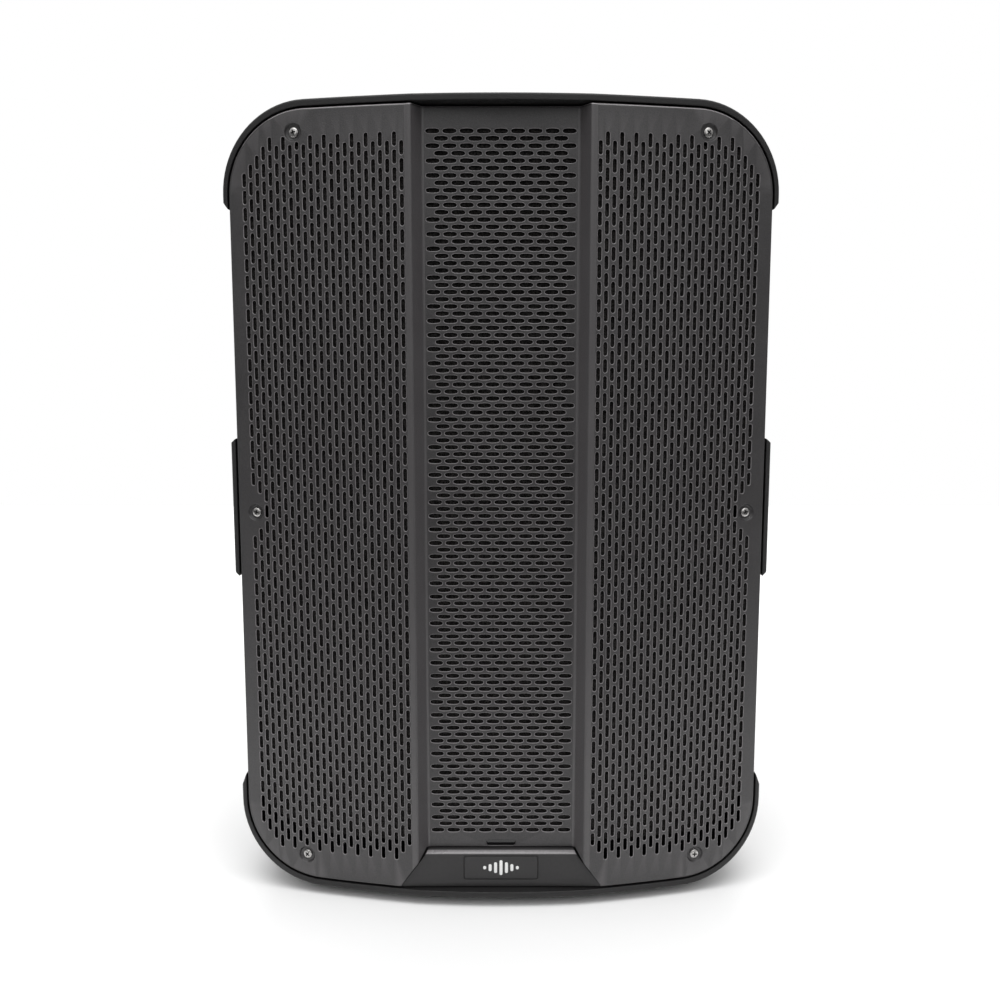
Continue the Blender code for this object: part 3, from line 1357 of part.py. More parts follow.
def make_socket(name, look, frame, recess_radius):
    """A panel socket: a square flange, a round body through the panel, and a round recess."""
    flange = SOCKET_FLANGE_THICKNESS
    socket = prism(name, rounded(SOCKET_FLANGE, 2 * EMBED, 2), FIT, flange + FIT, look, frame)
    body = cylinder(f"{name}_body", SOCKET_BODY_RADIUS, -SOCKET_BODY_LENGTH, FIT + EMBED, at=frame)
    join(socket, body)
    span = (-SOCKET_RECESS_DEPTH + flange, flange + REACH)
    cut(socket, cylinder(f"cut_{name}", recess_radius, *span, at=frame))
    return socket


def make_sockets(looks):
    for k, x in enumerate(SOCKET_X[:2], 1):
        frame = panel_frame(x, -SOCKET_DROP)
        name = f"combo_input_{k}"
        socket = make_socket(name, looks["socket"], frame, SOCKET_RECESS_RADIUS)
        low = SOCKET_FLANGE_THICKNESS - SOCKET_RECESS_DEPTH - JACK_EXTRA_DEPTH
        cut(socket, cylinder(f"cut_jack_{k}", JACK_RADIUS, low, 0, at=frame, count=ROUND_TINY))
        notch = [s + 2 * LATCH_CLEARANCE for s in LATCH_SIZE]
        tab_frame = frame @ Matrix.Translation((0, LATCH_RISE, 0))
        cut(socket, box(f"cut_latch_{k}", notch, LATCH_LIFT - 2 * FIT, REACH, at=tab_frame))
        high = LATCH_LIFT + LATCH_THICKNESS
        box(f"latch_tab_{k}", LATCH_SIZE, LATCH_LIFT + EMBED, high + EMBED, looks["button"], tab_frame)
    frame = panel_frame(SOCKET_X[2], -SOCKET_DROP)
    link = make_socket("link_output", looks["socket"], frame, SOCKET_RECESS_RADIUS + EMBED / 2)
    floor = SOCKET_FLANGE_THICKNESS - SOCKET_RECESS_DEPTH
    for k in range(3):
        angle = math.pi * (k / 2) + math.pi
        spot = frame @ Matrix.Translation((PIN_CIRCLE * math.cos(angle), PIN_CIRCLE * math.sin(angle), 0))
        span = (floor - EMBED, floor + PIN_LENGTH)
        join(link, cylinder(f"link_pin_{k}", PIN_RADIUS, *span, at=spot, count=ROUND_TINY))


def inlet_spot(at):
    return panel_frame(*INLET_CENTRE) @ Matrix.Translation((*at, 0))


def make_inlet(looks):
    """Mains inlet module: the inlet, the fuse drawer's slot and the switch opening."""
    frame = panel_frame(*INLET_CENTRE)
    flange = INLET_FLANGE_THICKNESS
    inlet = prism("mains_inlet", rounded(INLET_FLANGE, 3 * EMBED, 3), FIT, FIT + flange, looks["socket"], frame)
    join(inlet, box("inlet_body", INLET_BODY, -INLET_BODY_LENGTH, FIT + EMBED, at=frame))
    cavity_floor = flange - INLET_CAVITY_DEPTH
    spot = inlet_spot(INLET_CAVITY_AT)
    outline = rounded(INLET_CAVITY, INLET_CAVITY_RADIUS, 2)
    cut(inlet, prism("cut_inlet_cavity", outline, cavity_floor, REACH, at=spot))
    for k in range(3):
        x = BLADE_SPREAD * (k - 1)
        y = -BLADE_SPREAD / 4 if k == 1 else BLADE_SPREAD / 4
        blade = spot @ Matrix.Translation((x, y, 0))
        span = (cavity_floor - EMBED, cavity_floor + BLADE_LENGTH)
        join(inlet, box(f"blade_{k}", BLADE_SIZE, *span, at=blade))
    slot = inlet_spot(FUSE_SLOT_AT)
    cut(inlet, box("cut_fuse_slot", FUSE_SLOT, flange - FUSE_SLOT_DEPTH, REACH, at=slot))
    opening = inlet_spot(ROCKER_OPENING_AT)
    cut(inlet, box("cut_rocker", ROCKER_OPENING, flange - ROCKER_OPENING_DEPTH, REACH, at=opening))
    drawer = [s - 2 * FIT for s in FUSE_SLOT]
    low = flange - FUSE_SLOT_DEPTH + EMBED
    box("fuse_drawer", drawer, low, flange + FIT + FUSE_PROUD, looks["socket"], slot)
    make_rocker(looks, opening)


def make_rocker(looks, opening):
    """The rocker in its off position. Its own X is the pivot's axis."""
    half = ROCKER_OPENING[1] / 2 - 2 * ROCKER_CLEARANCE
    depth = ROCKER_PIVOT_DEPTH
    profile = [
        (-half * 0.9, -depth),
        (half * 0.9, -depth),
        (half, depth + 2 * EMBED),
        (0, depth + EMBED / 2),
        (-half, depth + 2 * EMBED),
    ]
    c, s = math.cos(ROCKER_TILT), math.sin(ROCKER_TILT)
    tilted = [(y * c - z * s, y * s + z * c) for y, z in profile]
    wide = ROCKER_OPENING[0] / 2 - ROCKER_CLEARANCE
    loops = [[(x, y, z) for y, z in tilted] for x in (-wide, wide)]
    pivot = opening @ Matrix.Translation((0, 0, INLET_FLANGE_THICKNESS - depth))
    solid("power_rocker", *skin(loops), looks["rocker"], pivot)


# Wiring loom


def smooth_route(stops, steps):
    """Points on a smooth curve through the stops (Catmull-Rom)."""
    ends = [2 * stops[0] - stops[1], *stops, 2 * stops[-1] - stops[-2]]
    points = []
    for a, b, c, d in zip(ends, ends[1:], ends[2:], ends[3:]):
        for k in range(steps):
            t = k / steps
            bend = (3 * b - a - 3 * c + d) * t**3 + (2 * a - 5 * b + 4 * c - d) * t**2
            points.append(b + ((c - a) * t + bend) / 2)
    points.append(stops[-1])
    return points


def tube(name, points, radius, sides, look=None):
    """A round tube along the points."""
    loops = []
    side = Vector((0, 0, 1))
    for k, point in enumerate(points):
        ahead = points[min(k + 1, len(points) - 1)] - points[max(k - 1, 0)]
        ahead.normalize()
        side = (side - ahead * side.dot(ahead)).normalized()
        other = ahead.cross(side)
        loops.append([point + side * x + other * y for x, y in circle(radius, sides)])
    return solid(name, *skin(loops), look)


def make_loom(looks):
    """Two leads from one plug on the power board, to the woofer and to the compression driver."""
    block_x = -AMP_BOARD_SIZE[0] / 2 + 2 * LOOM_BLOCK[0]
    board_back = PLATE_INNER_Y - AMP_BOARD_BACK - BOARD_THICKNESS
    plug = Vector((block_x, board_back - FIT, PANEL_Z + HEATSINK_RAISE - AMP_BOARD_SIZE[1] / 4))
    size = (LOOM_BLOCK[0], LOOM_BLOCK[2])
    loom = box("wiring_loom", size, 0, LOOM_BLOCK[1], looks["wire"], place(plug, FACING_FRONT))
    start = plug + Vector((0, -LOOM_BLOCK[1] + EMBED, 0))
    spread = LOOM_BLOCK[0] / 4
    neck = FRAME_NECK_RADIUS + SPIDER_RADIUS - SPIDER_LEDGE_RADIUS
    angle = math.radians(150)
    woofer_end = WOOFER_CENTRE + Vector((neck * math.cos(angle), BASKET_DEPTH, neck * math.sin(angle)))
    low = [
        start + Vector((-spread, 0, 0)),
        start + Vector((-spread, -0.020, -0.002)),
        start + Vector((-0.020, -0.055, -0.030)),
        (start + woofer_end) / 2 + Vector((-0.030, 0.010, -0.010)),
        woofer_end + Vector((-0.012, 0.030, 0.018)),
        woofer_end,
    ]
    join(loom, tube("woofer_lead", smooth_route(low, LOOM_STEPS), LOOM_RADIUS, LOOM_SIDES))
    driver_back = HORN_CENTRE.y + HORN_LENGTH + DRIVER_LENGTH + CAP_THICKNESS + 2 * FIT
    driver_end = Vector((-DRIVER_RADIUS / 2, driver_back + EMBED, HORN_CENTRE.z))
    high = [
        start + Vector((spread, 0, 0)),
        start + Vector((spread, -0.018, 0.004)),
        start + Vector((0.016, -0.030, 0.045)),
        driver_end + Vector((-0.010, 0.030, -0.050)),
        driver_end + Vector((0, 0.020, 0)),
        driver_end,
    ]
    join(loom, tube("driver_lead", smooth_route(high, LOOM_STEPS), LOOM_RADIUS, LOOM_SIDES))


def main():
    for old in list(bpy.data.objects):
        bpy.data.objects.remove(old)
    looks = make_materials()
    make_front_shell(looks)
    make_rear_shell(looks)
    make_grille(looks)
    make_foam(looks)
    make_grille_screws(looks)
    make_name_plate(looks)
    make_light_bar(looks)
    make_handles(looks)
    make_base(looks)
    make_inserts(looks)
    make_woofer(looks)
    make_horn(looks)
    make_compression_driver(looks)
    make_ports(looks)
    make_panel(looks)
    make_heatsink(looks)
    make_boards(looks)
    make_knobs(looks)
    make_buttons(looks)
    make_sockets(looks)
    make_inlet(looks)
    make_loom(looks)


main()
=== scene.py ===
"""The looks of a two-way PA loudspeaker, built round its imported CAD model.

Metres, +Z up. The front faces -Y, and the floor is at Z = 0.
"""

import json
import math

import bmesh
import bpy
from mathutils import Matrix, Vector, noise
from mathutils.geometry import delaunay_2d_cdt

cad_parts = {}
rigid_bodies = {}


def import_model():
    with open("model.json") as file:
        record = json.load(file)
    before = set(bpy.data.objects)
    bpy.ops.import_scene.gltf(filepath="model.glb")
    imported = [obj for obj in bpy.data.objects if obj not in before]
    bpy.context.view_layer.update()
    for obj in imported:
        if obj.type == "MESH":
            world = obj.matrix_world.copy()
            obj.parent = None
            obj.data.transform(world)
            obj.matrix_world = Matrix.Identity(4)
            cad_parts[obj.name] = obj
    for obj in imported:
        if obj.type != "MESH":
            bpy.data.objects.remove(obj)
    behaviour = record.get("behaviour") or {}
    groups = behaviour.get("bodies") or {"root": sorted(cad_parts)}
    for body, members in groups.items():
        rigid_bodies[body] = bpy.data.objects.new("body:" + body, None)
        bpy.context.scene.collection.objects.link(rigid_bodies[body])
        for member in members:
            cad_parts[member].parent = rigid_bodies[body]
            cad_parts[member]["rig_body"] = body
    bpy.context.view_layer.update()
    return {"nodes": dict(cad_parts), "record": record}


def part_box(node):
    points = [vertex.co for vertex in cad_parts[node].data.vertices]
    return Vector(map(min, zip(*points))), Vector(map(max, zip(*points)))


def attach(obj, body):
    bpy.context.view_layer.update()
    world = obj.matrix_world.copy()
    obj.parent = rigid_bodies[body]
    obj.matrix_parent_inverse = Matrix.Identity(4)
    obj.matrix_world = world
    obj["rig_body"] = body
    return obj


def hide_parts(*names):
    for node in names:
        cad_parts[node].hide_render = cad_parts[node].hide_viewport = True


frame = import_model()
NODES = frame["nodes"]

# Cabinet, read from the frame
SHELL_LOW, SHELL_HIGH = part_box("front_shell")
GRILLE_LOW, GRILLE_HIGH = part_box("grille")
REAR_LOW, REAR_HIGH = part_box("rear_shell")
PLATE_LOW, PLATE_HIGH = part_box("amp_plate")
HALF_WIDTH = SHELL_HIGH.x
LOW_Z, HIGH_Z = SHELL_LOW.z, SHELL_HIGH.z
MIDDLE_Z = (LOW_Z + HIGH_Z) / 2
FRONT_Y, BACK_Y = SHELL_LOW.y, REAR_HIGH.y
SEAM_Y = SHELL_HIGH.y
PANEL_Y = PLATE_HIGH.y
PANEL_Z = (PLATE_LOW.z + PLATE_HIGH.z) / 2

# Front rim and the grille's bowed plan shape
CORNER_RADIUS = 0.070
SWEEP = math.tan(math.radians(14.0))
CROWN = 0.0027
RIDGE_X = 0.0695
BOW = 0.0036
RIDGE_Y = FRONT_Y + BOW
RIM_SIDE = 0.0040
RIM_TOP = 0.0054
RIM_ROUND = 0.0018
RIM_INNER_ROUND = 0.0007
SEAM_GROOVE = 0.0045
SEAM_STEP = 0.004
REAR_STEP_IN = 0.003
WALL = 0.005
BAFFLE_Y = -0.112
BAFFLE_THICKNESS = 0.006
REBATE_WIDTH = 0.007
WOOFER_HOLE = 0.1782
HORN_HOLE = (0.236, 0.138)
PORT_HOLE = 0.0331
GAP = 0.0003
REACH = 0.010  # how far a cutter runs past the face it opens

# Rear moulding, handles and rigging
TAPER_START = (0.004, -0.020)  # in from the side, Y
BACK_HALF_WIDTH = 0.152
BACK_RADIUS = 0.045
BACK_ROUND = 0.015
TOP_FACE_Z = HIGH_Z - REAR_STEP_IN
BOTTOM_FACE_Z = LOW_Z + REAR_STEP_IN
SIDE_HANDLE = ((0.200, 0.120), 0.055)  # flange size, depth
TOP_HANDLE = ((0.180, 0.086), 0.036)
HANDLE_FLANGE = 0.010
HANDLE_RADIUS = 0.020
TOP_HANDLE_Y = 0.060
INSERT_SPOTS = (("rigging_insert_top_left", -0.110), ("rigging_insert_top_right", 0.110))
INSERT_BORE = 0.0103
POLE_BORE = 0.0221
REAR_INSERT_Z = HIGH_Z - 0.060
SHELL_SCREW_SINK = 0.0030
PANEL_WINDOW_IN = 0.024  # how much smaller the hole behind the panel is than the panel

# Openings in the rim's sides
TOP_LIP = (0.0765, 0.0075)  # length, chamfer
BOTTOM_LIP = (0.0825, 0.0145)
SIDE_TAB = (0.109, 0.005)  # height, chamfer
NOTCH_BACK_Y = -0.110

# Grille sheet
SHEET = 0.0016
CHANNEL_DEPTH = 0.012
CHANNEL_HALF = 0.0616
FLANGE = 0.018
FLANGE_ROUND = 0.0016
RIDGE_BEND = 0.0016
RIDGE_BLEND = 0.0050
FLOOR_BEND = 0.0030
SPLIT_X = RIDGE_X + RIDGE_BLEND  # where the wing pieces meet the channel piece
SLOT_HALF_WIDTH = 0.00160
SLOT_LENGTH = 0.0109
SLOT_EDGE = 0.00040
CHANNEL_SLOT_HALF = 0.00190
CHANNEL_SLOT_POWER = 2.8  # how square a channel slot's ends are: 2 is an ellipse
SLOT_ARC = 7
WING_FIRST_X = 0.0769
WING_LAST_X = 0.2059
WING_COLUMNS = 24
WING_PITCH = 0.01338
WING_TOP_Z = 0.6267
WING_ROWS = 44
CHANNEL_PITCH = 0.01338
CHANNEL_ROW_PITCH = 0.005613
CHANNEL_TOP_Z = 0.6343
CHANNEL_ROWS = 103
CHANNEL_SLOTS = 9
DIMPLE_RADIUS = 0.0070
DIMPLE_DEPTH = 0.0024
DIMPLE_RIM = 1.04  # share of its radius that a dimple blends over

# Name plate and indicator, heights above the cabinet's bottom
PLATE_TOP_HALF = 0.0625
PLATE_BOTTOM_HALF = 0.0847
PLATE_TOP = 0.038
PLATE_BOTTOM = 0.0062
PLATE_GROOVE = 0.0011
PLATE_LEDGE = (0.0024, 0.0026)  # height and depth of the slope along its top edge
LENS_LOW, LENS_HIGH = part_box("indicator_light_bar")

CORNER_STEPS = 20
UP = Matrix.Identity(4)


def basis(x_axis, y_axis, z_axis):
    """The rotation that takes a shape's own axes to these directions."""
    return Matrix((Vector(x_axis), Vector(y_axis), Vector(z_axis))).transposed().to_4x4()


FACING_FRONT = basis((1, 0, 0), (0, 0, 1), (0, -1, 0))
FACING_BACK = basis((-1, 0, 0), (0, 0, 1), (0, 1, 0))
FACING_DOWN = basis((1, 0, 0), (0, -1, 0), (0, 0, -1))


def place(point, turn=UP):
    """A frame at a point, turned."""
    return Matrix.Translation(Vector(point)) @ turn


def middle_of(node):
    """The middle of a CAD node's box."""
    low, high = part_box(node)
    return (low + high) / 2


# ---------------------------------------------------------------- materials


class Nodes:
    """A short way to wire up one material."""

    def __init__(self, name):
        self.material = bpy.data.materials.new(name)
        self.material.use_nodes = True
        self.tree = self.material.node_tree
        self.shader = self.tree.nodes["Principled BSDF"]
        self.coordinates = self.add("ShaderNodeTexCoord").outputs["Object"]

    def add(self, kind, **settings):
        node = self.tree.nodes.new(kind)
        for key, value in settings.items():
            setattr(node, key, value)
        return node

    def link(self, source, target):
        self.tree.links.new(source, target)

    def stretched(self, scale):
        """Object coordinates, scaled apart along each axis."""
        mapping = self.add("ShaderNodeMapping")
        mapping.inputs["Scale"].default_value = scale
        self.link(self.coordinates, mapping.inputs["Vector"])
        return mapping.outputs["Vector"]

    def noise(self, scale, detail=3.0, vector=None, rough=0.5):
        node = self.add("ShaderNodeTexNoise")
        node.inputs["Scale"].default_value = scale
        node.inputs["Detail"].default_value = detail
        node.inputs["Roughness"].default_value = rough
        self.link(vector or self.coordinates, node.inputs["Vector"])
        return node.outputs["Fac"]

    def cells(self, scale, feature="F1", vector=None):
        node = self.add("ShaderNodeTexVoronoi", feature=feature)
        node.inputs["Scale"].default_value = scale
        self.link(vector or self.coordinates, node.inputs["Vector"])
        return node.outputs["Distance"]

    def spread(self, source, low, high, start=0.3, end=0.7):
        """The source's values between start and end, spread over low to high."""
        node = self.add("ShaderNodeMapRange")
        for key, value in (("From Min", start), ("From Max", end), ("To Min", low), ("To Max", high)):
            node.inputs[key].default_value = value
        self.link(source, node.inputs["Value"])
        return node.outputs["Result"]

    def mix(self, factor, first, second):
        node = self.add("ShaderNodeMix", data_type="RGBA")
        self.link(factor, node.inputs[0])
        for value, socket in ((first, node.inputs[6]), (second, node.inputs[7])):
            if isinstance(value, bpy.types.NodeSocket):
                self.link(value, socket)
            else:
                socket.default_value = (*value, 1.0)
        return node.outputs[2]

    def bump(self, heights):
        """Stacks (height, depth) pairs into one normal."""
        normal = None
        for height, depth in heights:
            node = self.add("ShaderNodeBump")
            node.inputs["Strength"].default_value = 1.0
            node.inputs["Distance"].default_value = depth
            self.link(height, node.inputs["Height"])
            if normal:
                self.link(normal, node.inputs["Normal"])
            normal = node.outputs["Normal"]
        self.link(normal, self.shader.inputs["Normal"])

    def worn(self, colour, amount, tint):
        """Lighter where the surface turns outward at an edge."""
        edge = self.add("ShaderNodeNewGeometry").outputs["Pointiness"]
        return self.mix(self.spread(edge, 0.0, amount, 0.53, 0.62), colour, tint)


def scaled(colour, share):
    return tuple(c * share for c in colour)


def look(name, colour, rough, metal=0.0, mottle=(120, 0.12), grain=(1500, 0.00006), wear=0.0, **extra):
    """A moulded, painted or metal surface: mottled colour, uneven gloss, fine grain and worn edges."""
    made = Nodes(name)
    scale, amount = mottle
    stretch = extra.get("stretch")
    vector = made.stretched(stretch) if stretch else None
    patch = made.noise(scale, 4.0, vector)
    base = made.mix(made.spread(patch, 0.0, 1.0), scaled(colour, 1 - amount), scaled(colour, 1 + amount))
    if wear:
        base = made.worn(base, wear, extra.get("wear_tint", scaled(colour, 3.0)))
    made.link(base, made.shader.inputs["Base Color"])
    spread = extra.get("gloss_spread", 0.07)
    smudge = made.noise(extra.get("smudge", 22), 5.0)
    made.link(made.spread(smudge, rough - spread, rough + spread), made.shader.inputs["Roughness"])
    made.shader.inputs["Metallic"].default_value = metal
    made.shader.inputs["Specular IOR Level"].default_value = extra.get("specular", 0.5)
    made.shader.inputs["Coat Weight"].default_value = extra.get("coat", 0.0)
    grain_scale, depth = grain
    heights = [(made.noise(grain_scale, 2.0, vector), depth)]
    if extra.get("pebble"):
        pebble_scale, pebble_depth = extra["pebble"]
        heights.append((made.cells(pebble_scale), pebble_depth))
    made.bump(heights)
    return made.material


def foam_look(name, dark, light, cell):
    """Open-cell foam: pores painted dark between lighter struts, as painted shade in the holes."""
    made = Nodes(name)
    pores = made.cells(cell)
    struts = made.cells(cell * 2.3, "DISTANCE_TO_EDGE")
    patch = made.noise(cell / 4, 4.0)
    # The pores' dark colour is painted shade; the darker patches are random tone.
    colour = made.mix(made.spread(pores, 0.0, 1.0, 0.15, 0.75), dark, light)
    colour = made.mix(made.spread(patch, 0.0, 0.8, 0.45, 0.75), colour, scaled(dark, 0.4))
    made.link(colour, made.shader.inputs["Base Color"])
    made.link(made.spread(patch, 0.85, 1.0), made.shader.inputs["Roughness"])
    made.shader.inputs["Specular IOR Level"].default_value = 0.2
    made.bump([(pores, 0.0008), (struts, 0.0003)])
    return made.material


def board_look(name):
    """Solder mask with paler copper tracks under it."""
    made = Nodes(name)
    tracks = made.cells(260, "DISTANCE_TO_EDGE", made.stretched((1.0, 1.0, 2.5)))
    mask, track = (0.008, 0.075, 0.030), (0.030, 0.165, 0.062)
    colour = made.mix(made.spread(tracks, 1.0, 0.0, 0.02, 0.09), mask, track)
    made.link(colour, made.shader.inputs["Base Color"])
    made.link(made.spread(made.noise(60), 0.25, 0.42), made.shader.inputs["Roughness"])
    made.bump([(tracks, 0.00004)])
    return made.material


def make_looks():
    """One material for each of the record's slots, and a few for finer pieces."""
    nickel = (0.46, 0.45, 0.44)
    dark_trim = (0.020, 0.0190, 0.0196)
    along_fins = (1, 1, 0.06)
    return {
        "shell": look("shell_plastic", (0.0115, 0.0110, 0.0113), 0.50, specular=0.4, mottle=(260, 0.14),
                      grain=(2400, 0.00010), pebble=(1250, 0.00014), wear=0.35,
                      wear_tint=(0.05, 0.05, 0.051)),
        "grille": look("grille_powder_coat", (0.0255, 0.0235, 0.0246), 0.40, specular=0.75,
                       mottle=(1100, 0.40), grain=(1700, 0.00016), pebble=(900, 0.00005), wear=0.5,
                       wear_tint=(0.095, 0.089, 0.092)),
        # Lighter copy of the grille paint for the slots' rounded rims and the flange's top bend: a painted
        # highlight.
        "grille_edge": look("grille_slot_edge_highlight", (0.185, 0.173, 0.179), 0.32, specular=0.9,
                            mottle=(900, 0.30), grain=(1700, 0.00006)),
        # Lighter copy of the trim for the name plate's top ledge: a painted highlight.
        "plate_edge": look("name_plate_ledge_highlight", (0.170, 0.161, 0.165), 0.30, specular=0.8, mottle=(500, 0.12),
                           grain=(2400, 0.00004)),
        "foam": foam_look("foam_black", (0.0008, 0.0008, 0.0008), (0.030, 0.028, 0.027), 620),
        "trim": look("trim_plastic", dark_trim, 0.46, mottle=(300, 0.10), grain=(2400, 0.00006),
                     pebble=(1700, 0.00006), wear=0.30, wear_tint=(0.06, 0.058, 0.059)),
        "badge": look("badge_plate", dark_trim, 0.36, mottle=(500, 0.10), grain=(3000, 0.00003)),
        "mark": look("badge_mark", (0.80, 0.80, 0.79), 0.35, mottle=(300, 0.03), grain=(2000, 0.00001)),
        "lens": look("smoked_lens", (0.006, 0.006, 0.007), 0.10, mottle=(50, 0.2), grain=(300, 0.000004),
                     coat=0.5),
        "screw": look("screw_nickel", nickel, 0.26, 1.0, mottle=(700, 0.12), grain=(4000, 0.00003),
                      smudge=600),
        # Darker metal for the screws' cross recesses: painted shade.
        "recess": look("screw_recess_painted_shade", (0.05, 0.05, 0.05), 0.55, 0.6, mottle=(700, 0.2),
                       grain=(4000, 0.00003)),
        "rubber": look("rubber_black", (0.016, 0.016, 0.016), 0.80, mottle=(200, 0.25),
                       grain=(1800, 0.00008)),
        "steel": look("steel_zinc", (0.50, 0.50, 0.51), 0.34, 1.0, mottle=(240, 0.10), grain=(900, 0.00003),
                      stretch=(1, 6, 1)),
        "basket": look("basket_paint", (0.028, 0.028, 0.030), 0.45, 0.1, grain=(1300, 0.00006)),
        "paper": look("cone_paper", (0.034, 0.032, 0.030), 0.88, mottle=(420, 0.45), grain=(900, 0.00025)),
        "cloth": look("treated_cloth", (0.060, 0.046, 0.028), 0.80, mottle=(900, 0.35),
                      grain=(1500, 0.00025)),
        "former": look("coil_former", (0.55, 0.40, 0.20), 0.45, mottle=(900, 0.15), grain=(3000, 0.00005),
                       stretch=(1, 8, 1)),
        "ferrite": look("ferrite", (0.055, 0.055, 0.058), 0.55, mottle=(160, 0.2), grain=(1200, 0.00008)),
        "horn": look("horn_plastic", (0.020, 0.020, 0.021), 0.38, grain=(2200, 0.00006)),
        "aluminium": look("heatsink_anodised", (0.040, 0.040, 0.043), 0.42, 0.55, mottle=(160, 0.12),
                          grain=(700, 0.00004), stretch=along_fins, wear=0.4, wear_tint=(0.20, 0.20, 0.21)),
        "panel": look("panel_paint", (0.026, 0.026, 0.028), 0.46, 0.1, mottle=(400, 0.12),
                      grain=(2200, 0.00008)),
        "ink": look("printed_marks", (0.62, 0.62, 0.61), 0.60, mottle=(900, 0.08), grain=(3000, 0.00001)),
        "board": board_look("circuit_board"),
        "socket": look("socket_plastic", (0.024, 0.024, 0.026), 0.36, mottle=(500, 0.1),
                       grain=(2600, 0.00004), wear=0.25, wear_tint=(0.08, 0.08, 0.085)),
        "contact": look("contact_gold", (0.72, 0.52, 0.22), 0.25, 1.0, mottle=(900, 0.06),
                        grain=(3000, 0.00001)),
        "black_screw": look("screw_black", (0.035, 0.035, 0.037), 0.38, 0.7, grain=(3000, 0.00004)),
        "knob": look("knob_plastic", (0.030, 0.030, 0.032), 0.52, mottle=(700, 0.10), grain=(2600, 0.00006)),
        "button": look("button_plastic", (0.27, 0.27, 0.28), 0.45, mottle=(700, 0.05), grain=(2600, 0.00003)),
        "rocker": look("rocker_plastic", (0.26, 0.016, 0.014), 0.30, mottle=(300, 0.06),
                       grain=(2200, 0.00002), coat=0.3),
        "wire": look("wire_sleeve", (0.13, 0.018, 0.016), 0.48, mottle=(400, 0.12), grain=(900, 0.00004)),
    }


# ------------------------------------------------------------- mesh building


def outwards(mesh):
    """Turns every face to point out."""
    shape = bmesh.new()
    shape.from_mesh(mesh)
    bmesh.ops.recalc_face_normals(shape, faces=shape.faces)
    shape.to_mesh(mesh)
    shape.free()


def shade(mesh, sharp=32.0):
    """Smooth shading, with sharp edges above an angle in degrees."""
    mesh.shade_smooth()
    mesh.set_sharp_from_angle(angle=math.radians(sharp))


def build(name, points, faces, material=None, at=UP, sharp=32.0, recalculate=True):
    """A mesh object from points in its own frame, moved into the row frame."""
    mesh = bpy.data.meshes.new(name)
    mesh.from_pydata([at @ Vector(p) for p in points], [], faces)
    if recalculate:
        outwards(mesh)
    shade(mesh, sharp)
    made = bpy.data.objects.new(name, mesh)
    bpy.context.scene.collection.objects.link(made)
    if material:
        mesh.materials.append(material)
    return made


def show(piece, slot, *replaced, body="cabinet"):
    """Rides a finished piece on its body and hides the CAD nodes it replaces."""
    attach(piece, body)
    if replaced:
        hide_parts(*replaced)
    return piece


def lofted(loops, closed=False):
    """Points and faces through loops of equal length. Open ends get a flat cap."""
    count = len(loops[0])
    points = [p for loop in loops for p in loop]
    faces = []
    last = len(loops) if closed else len(loops) - 1
    for i in range(last):
        a, b = i * count, (i + 1) % len(loops) * count
        for k in range(count):
            n = (k + 1) % count
            faces.append((a + k, a + n, b + n, b + k))
    if not closed:
        faces.append(tuple(range(count)))
        faces.append(tuple(range(len(points) - count, len(points))))
    return points, faces


def stripped(loops):
    """Like lofted, with both ends capped by upright strips, for ends that are not flat."""
    points, faces = lofted(loops)
    del faces[-2:]
    count = len(loops[0])
    for start in (0, len(points) - count):
        for k in range(count // 2 - 1):
            faces.append((start + k, start + k + 1, start + count - 2 - k, start + count - 1 - k))
    return points, faces


def circle(radius, count):
    turn = [math.tau * k / count for k in range(count)]
    return [(radius * math.cos(a), radius * math.sin(a)) for a in turn]


def rounded(size, radius, steps=8):
    """A rectangle of this size round the origin, with round corners."""
    half_x, half_y = size[0] / 2 - radius, size[1] / 2 - radius
    outline = []
    for corner, (sx, sy) in enumerate(((1, 1), (-1, 1), (-1, -1), (1, -1))):
        for k in range(steps + 1):
            angle = math.pi / 2 * (corner + k / steps)
            outline.append((sx * half_x + radius * math.cos(angle), sy * half_y + radius * math.sin(angle)))
    return outline


def quarter(radius, steps):
    """(inset, drop) pairs round a quarter-round edge, from its side to its face."""
    arc = [math.pi / 2 * k / steps for k in range(steps + 1)]
    return [(radius * (1 - math.cos(a)), radius * (1 - math.sin(a))) for a in arc]


def eased(size, radius, low, high, edge, both=False):
    """Loops of a rounded block whose top edge, and bottom edge if both, is rounded over."""

    def ring(inset, z):
        outline = rounded([s - 2 * inset for s in size], max(radius - inset, 0.0001))
        return [(x, y, z) for x, y in outline]

    arc = quarter(edge, 4)
    foot = [ring(inset, low + drop) for inset, drop in reversed(arc)] if both else [ring(0, low)]
    return foot + [ring(inset, high - drop) for inset, drop in arc]


def block(name, size, radius, low, high, edge, material=None, at=UP, both=False):
    """A rounded block with eased edges. Its outline is in its own XY plane."""
    return build(name, *lofted(eased(size, radius, low, high, edge, both=both)), material, at)


def prism(name, outline, low, high, material=None, at=UP):
    """An outline in XY, drawn straight from low to high."""
    return build(name, *lofted([[(x, y, z) for x, y in outline] for z in (low, high)]), material, at)


def rod(name, radius, low, high, material=None, at=UP, count=32):
    return prism(name, circle(radius, count), low, high, material, at)


def turned(name, profile, material=None, at=UP, count=64, flute=None):
    """A (radius, height) profile turned about the shape's own Z. flute may change a radius by angle."""
    on_axis = profile[0][0] == 0
    points, rings, faces = [], [], []
    for radius, height in profile:
        rings.append(len(points))
        if radius == 0:
            points.append((0, 0, height))
            continue
        for k in range(count):
            angle = math.tau * k / count
            r = flute(radius, height, angle) if flute else radius
            points.append((r * math.cos(angle), r * math.sin(angle), height))
    for i in range(len(profile) - 1 if on_axis else len(profile)):
        j = (i + 1) % len(profile)
        a, b = rings[i], rings[j]
        for k in range(count):
            n = (k + 1) % count
            if profile[i][0] == 0:
                faces.append((a, b + k, b + n))
            elif profile[j][0] == 0:
                faces.append((a + k, b, a + n))
            else:
                faces.append((a + k, b + k, b + n, a + n))
    return build(name, points, faces, material, at)


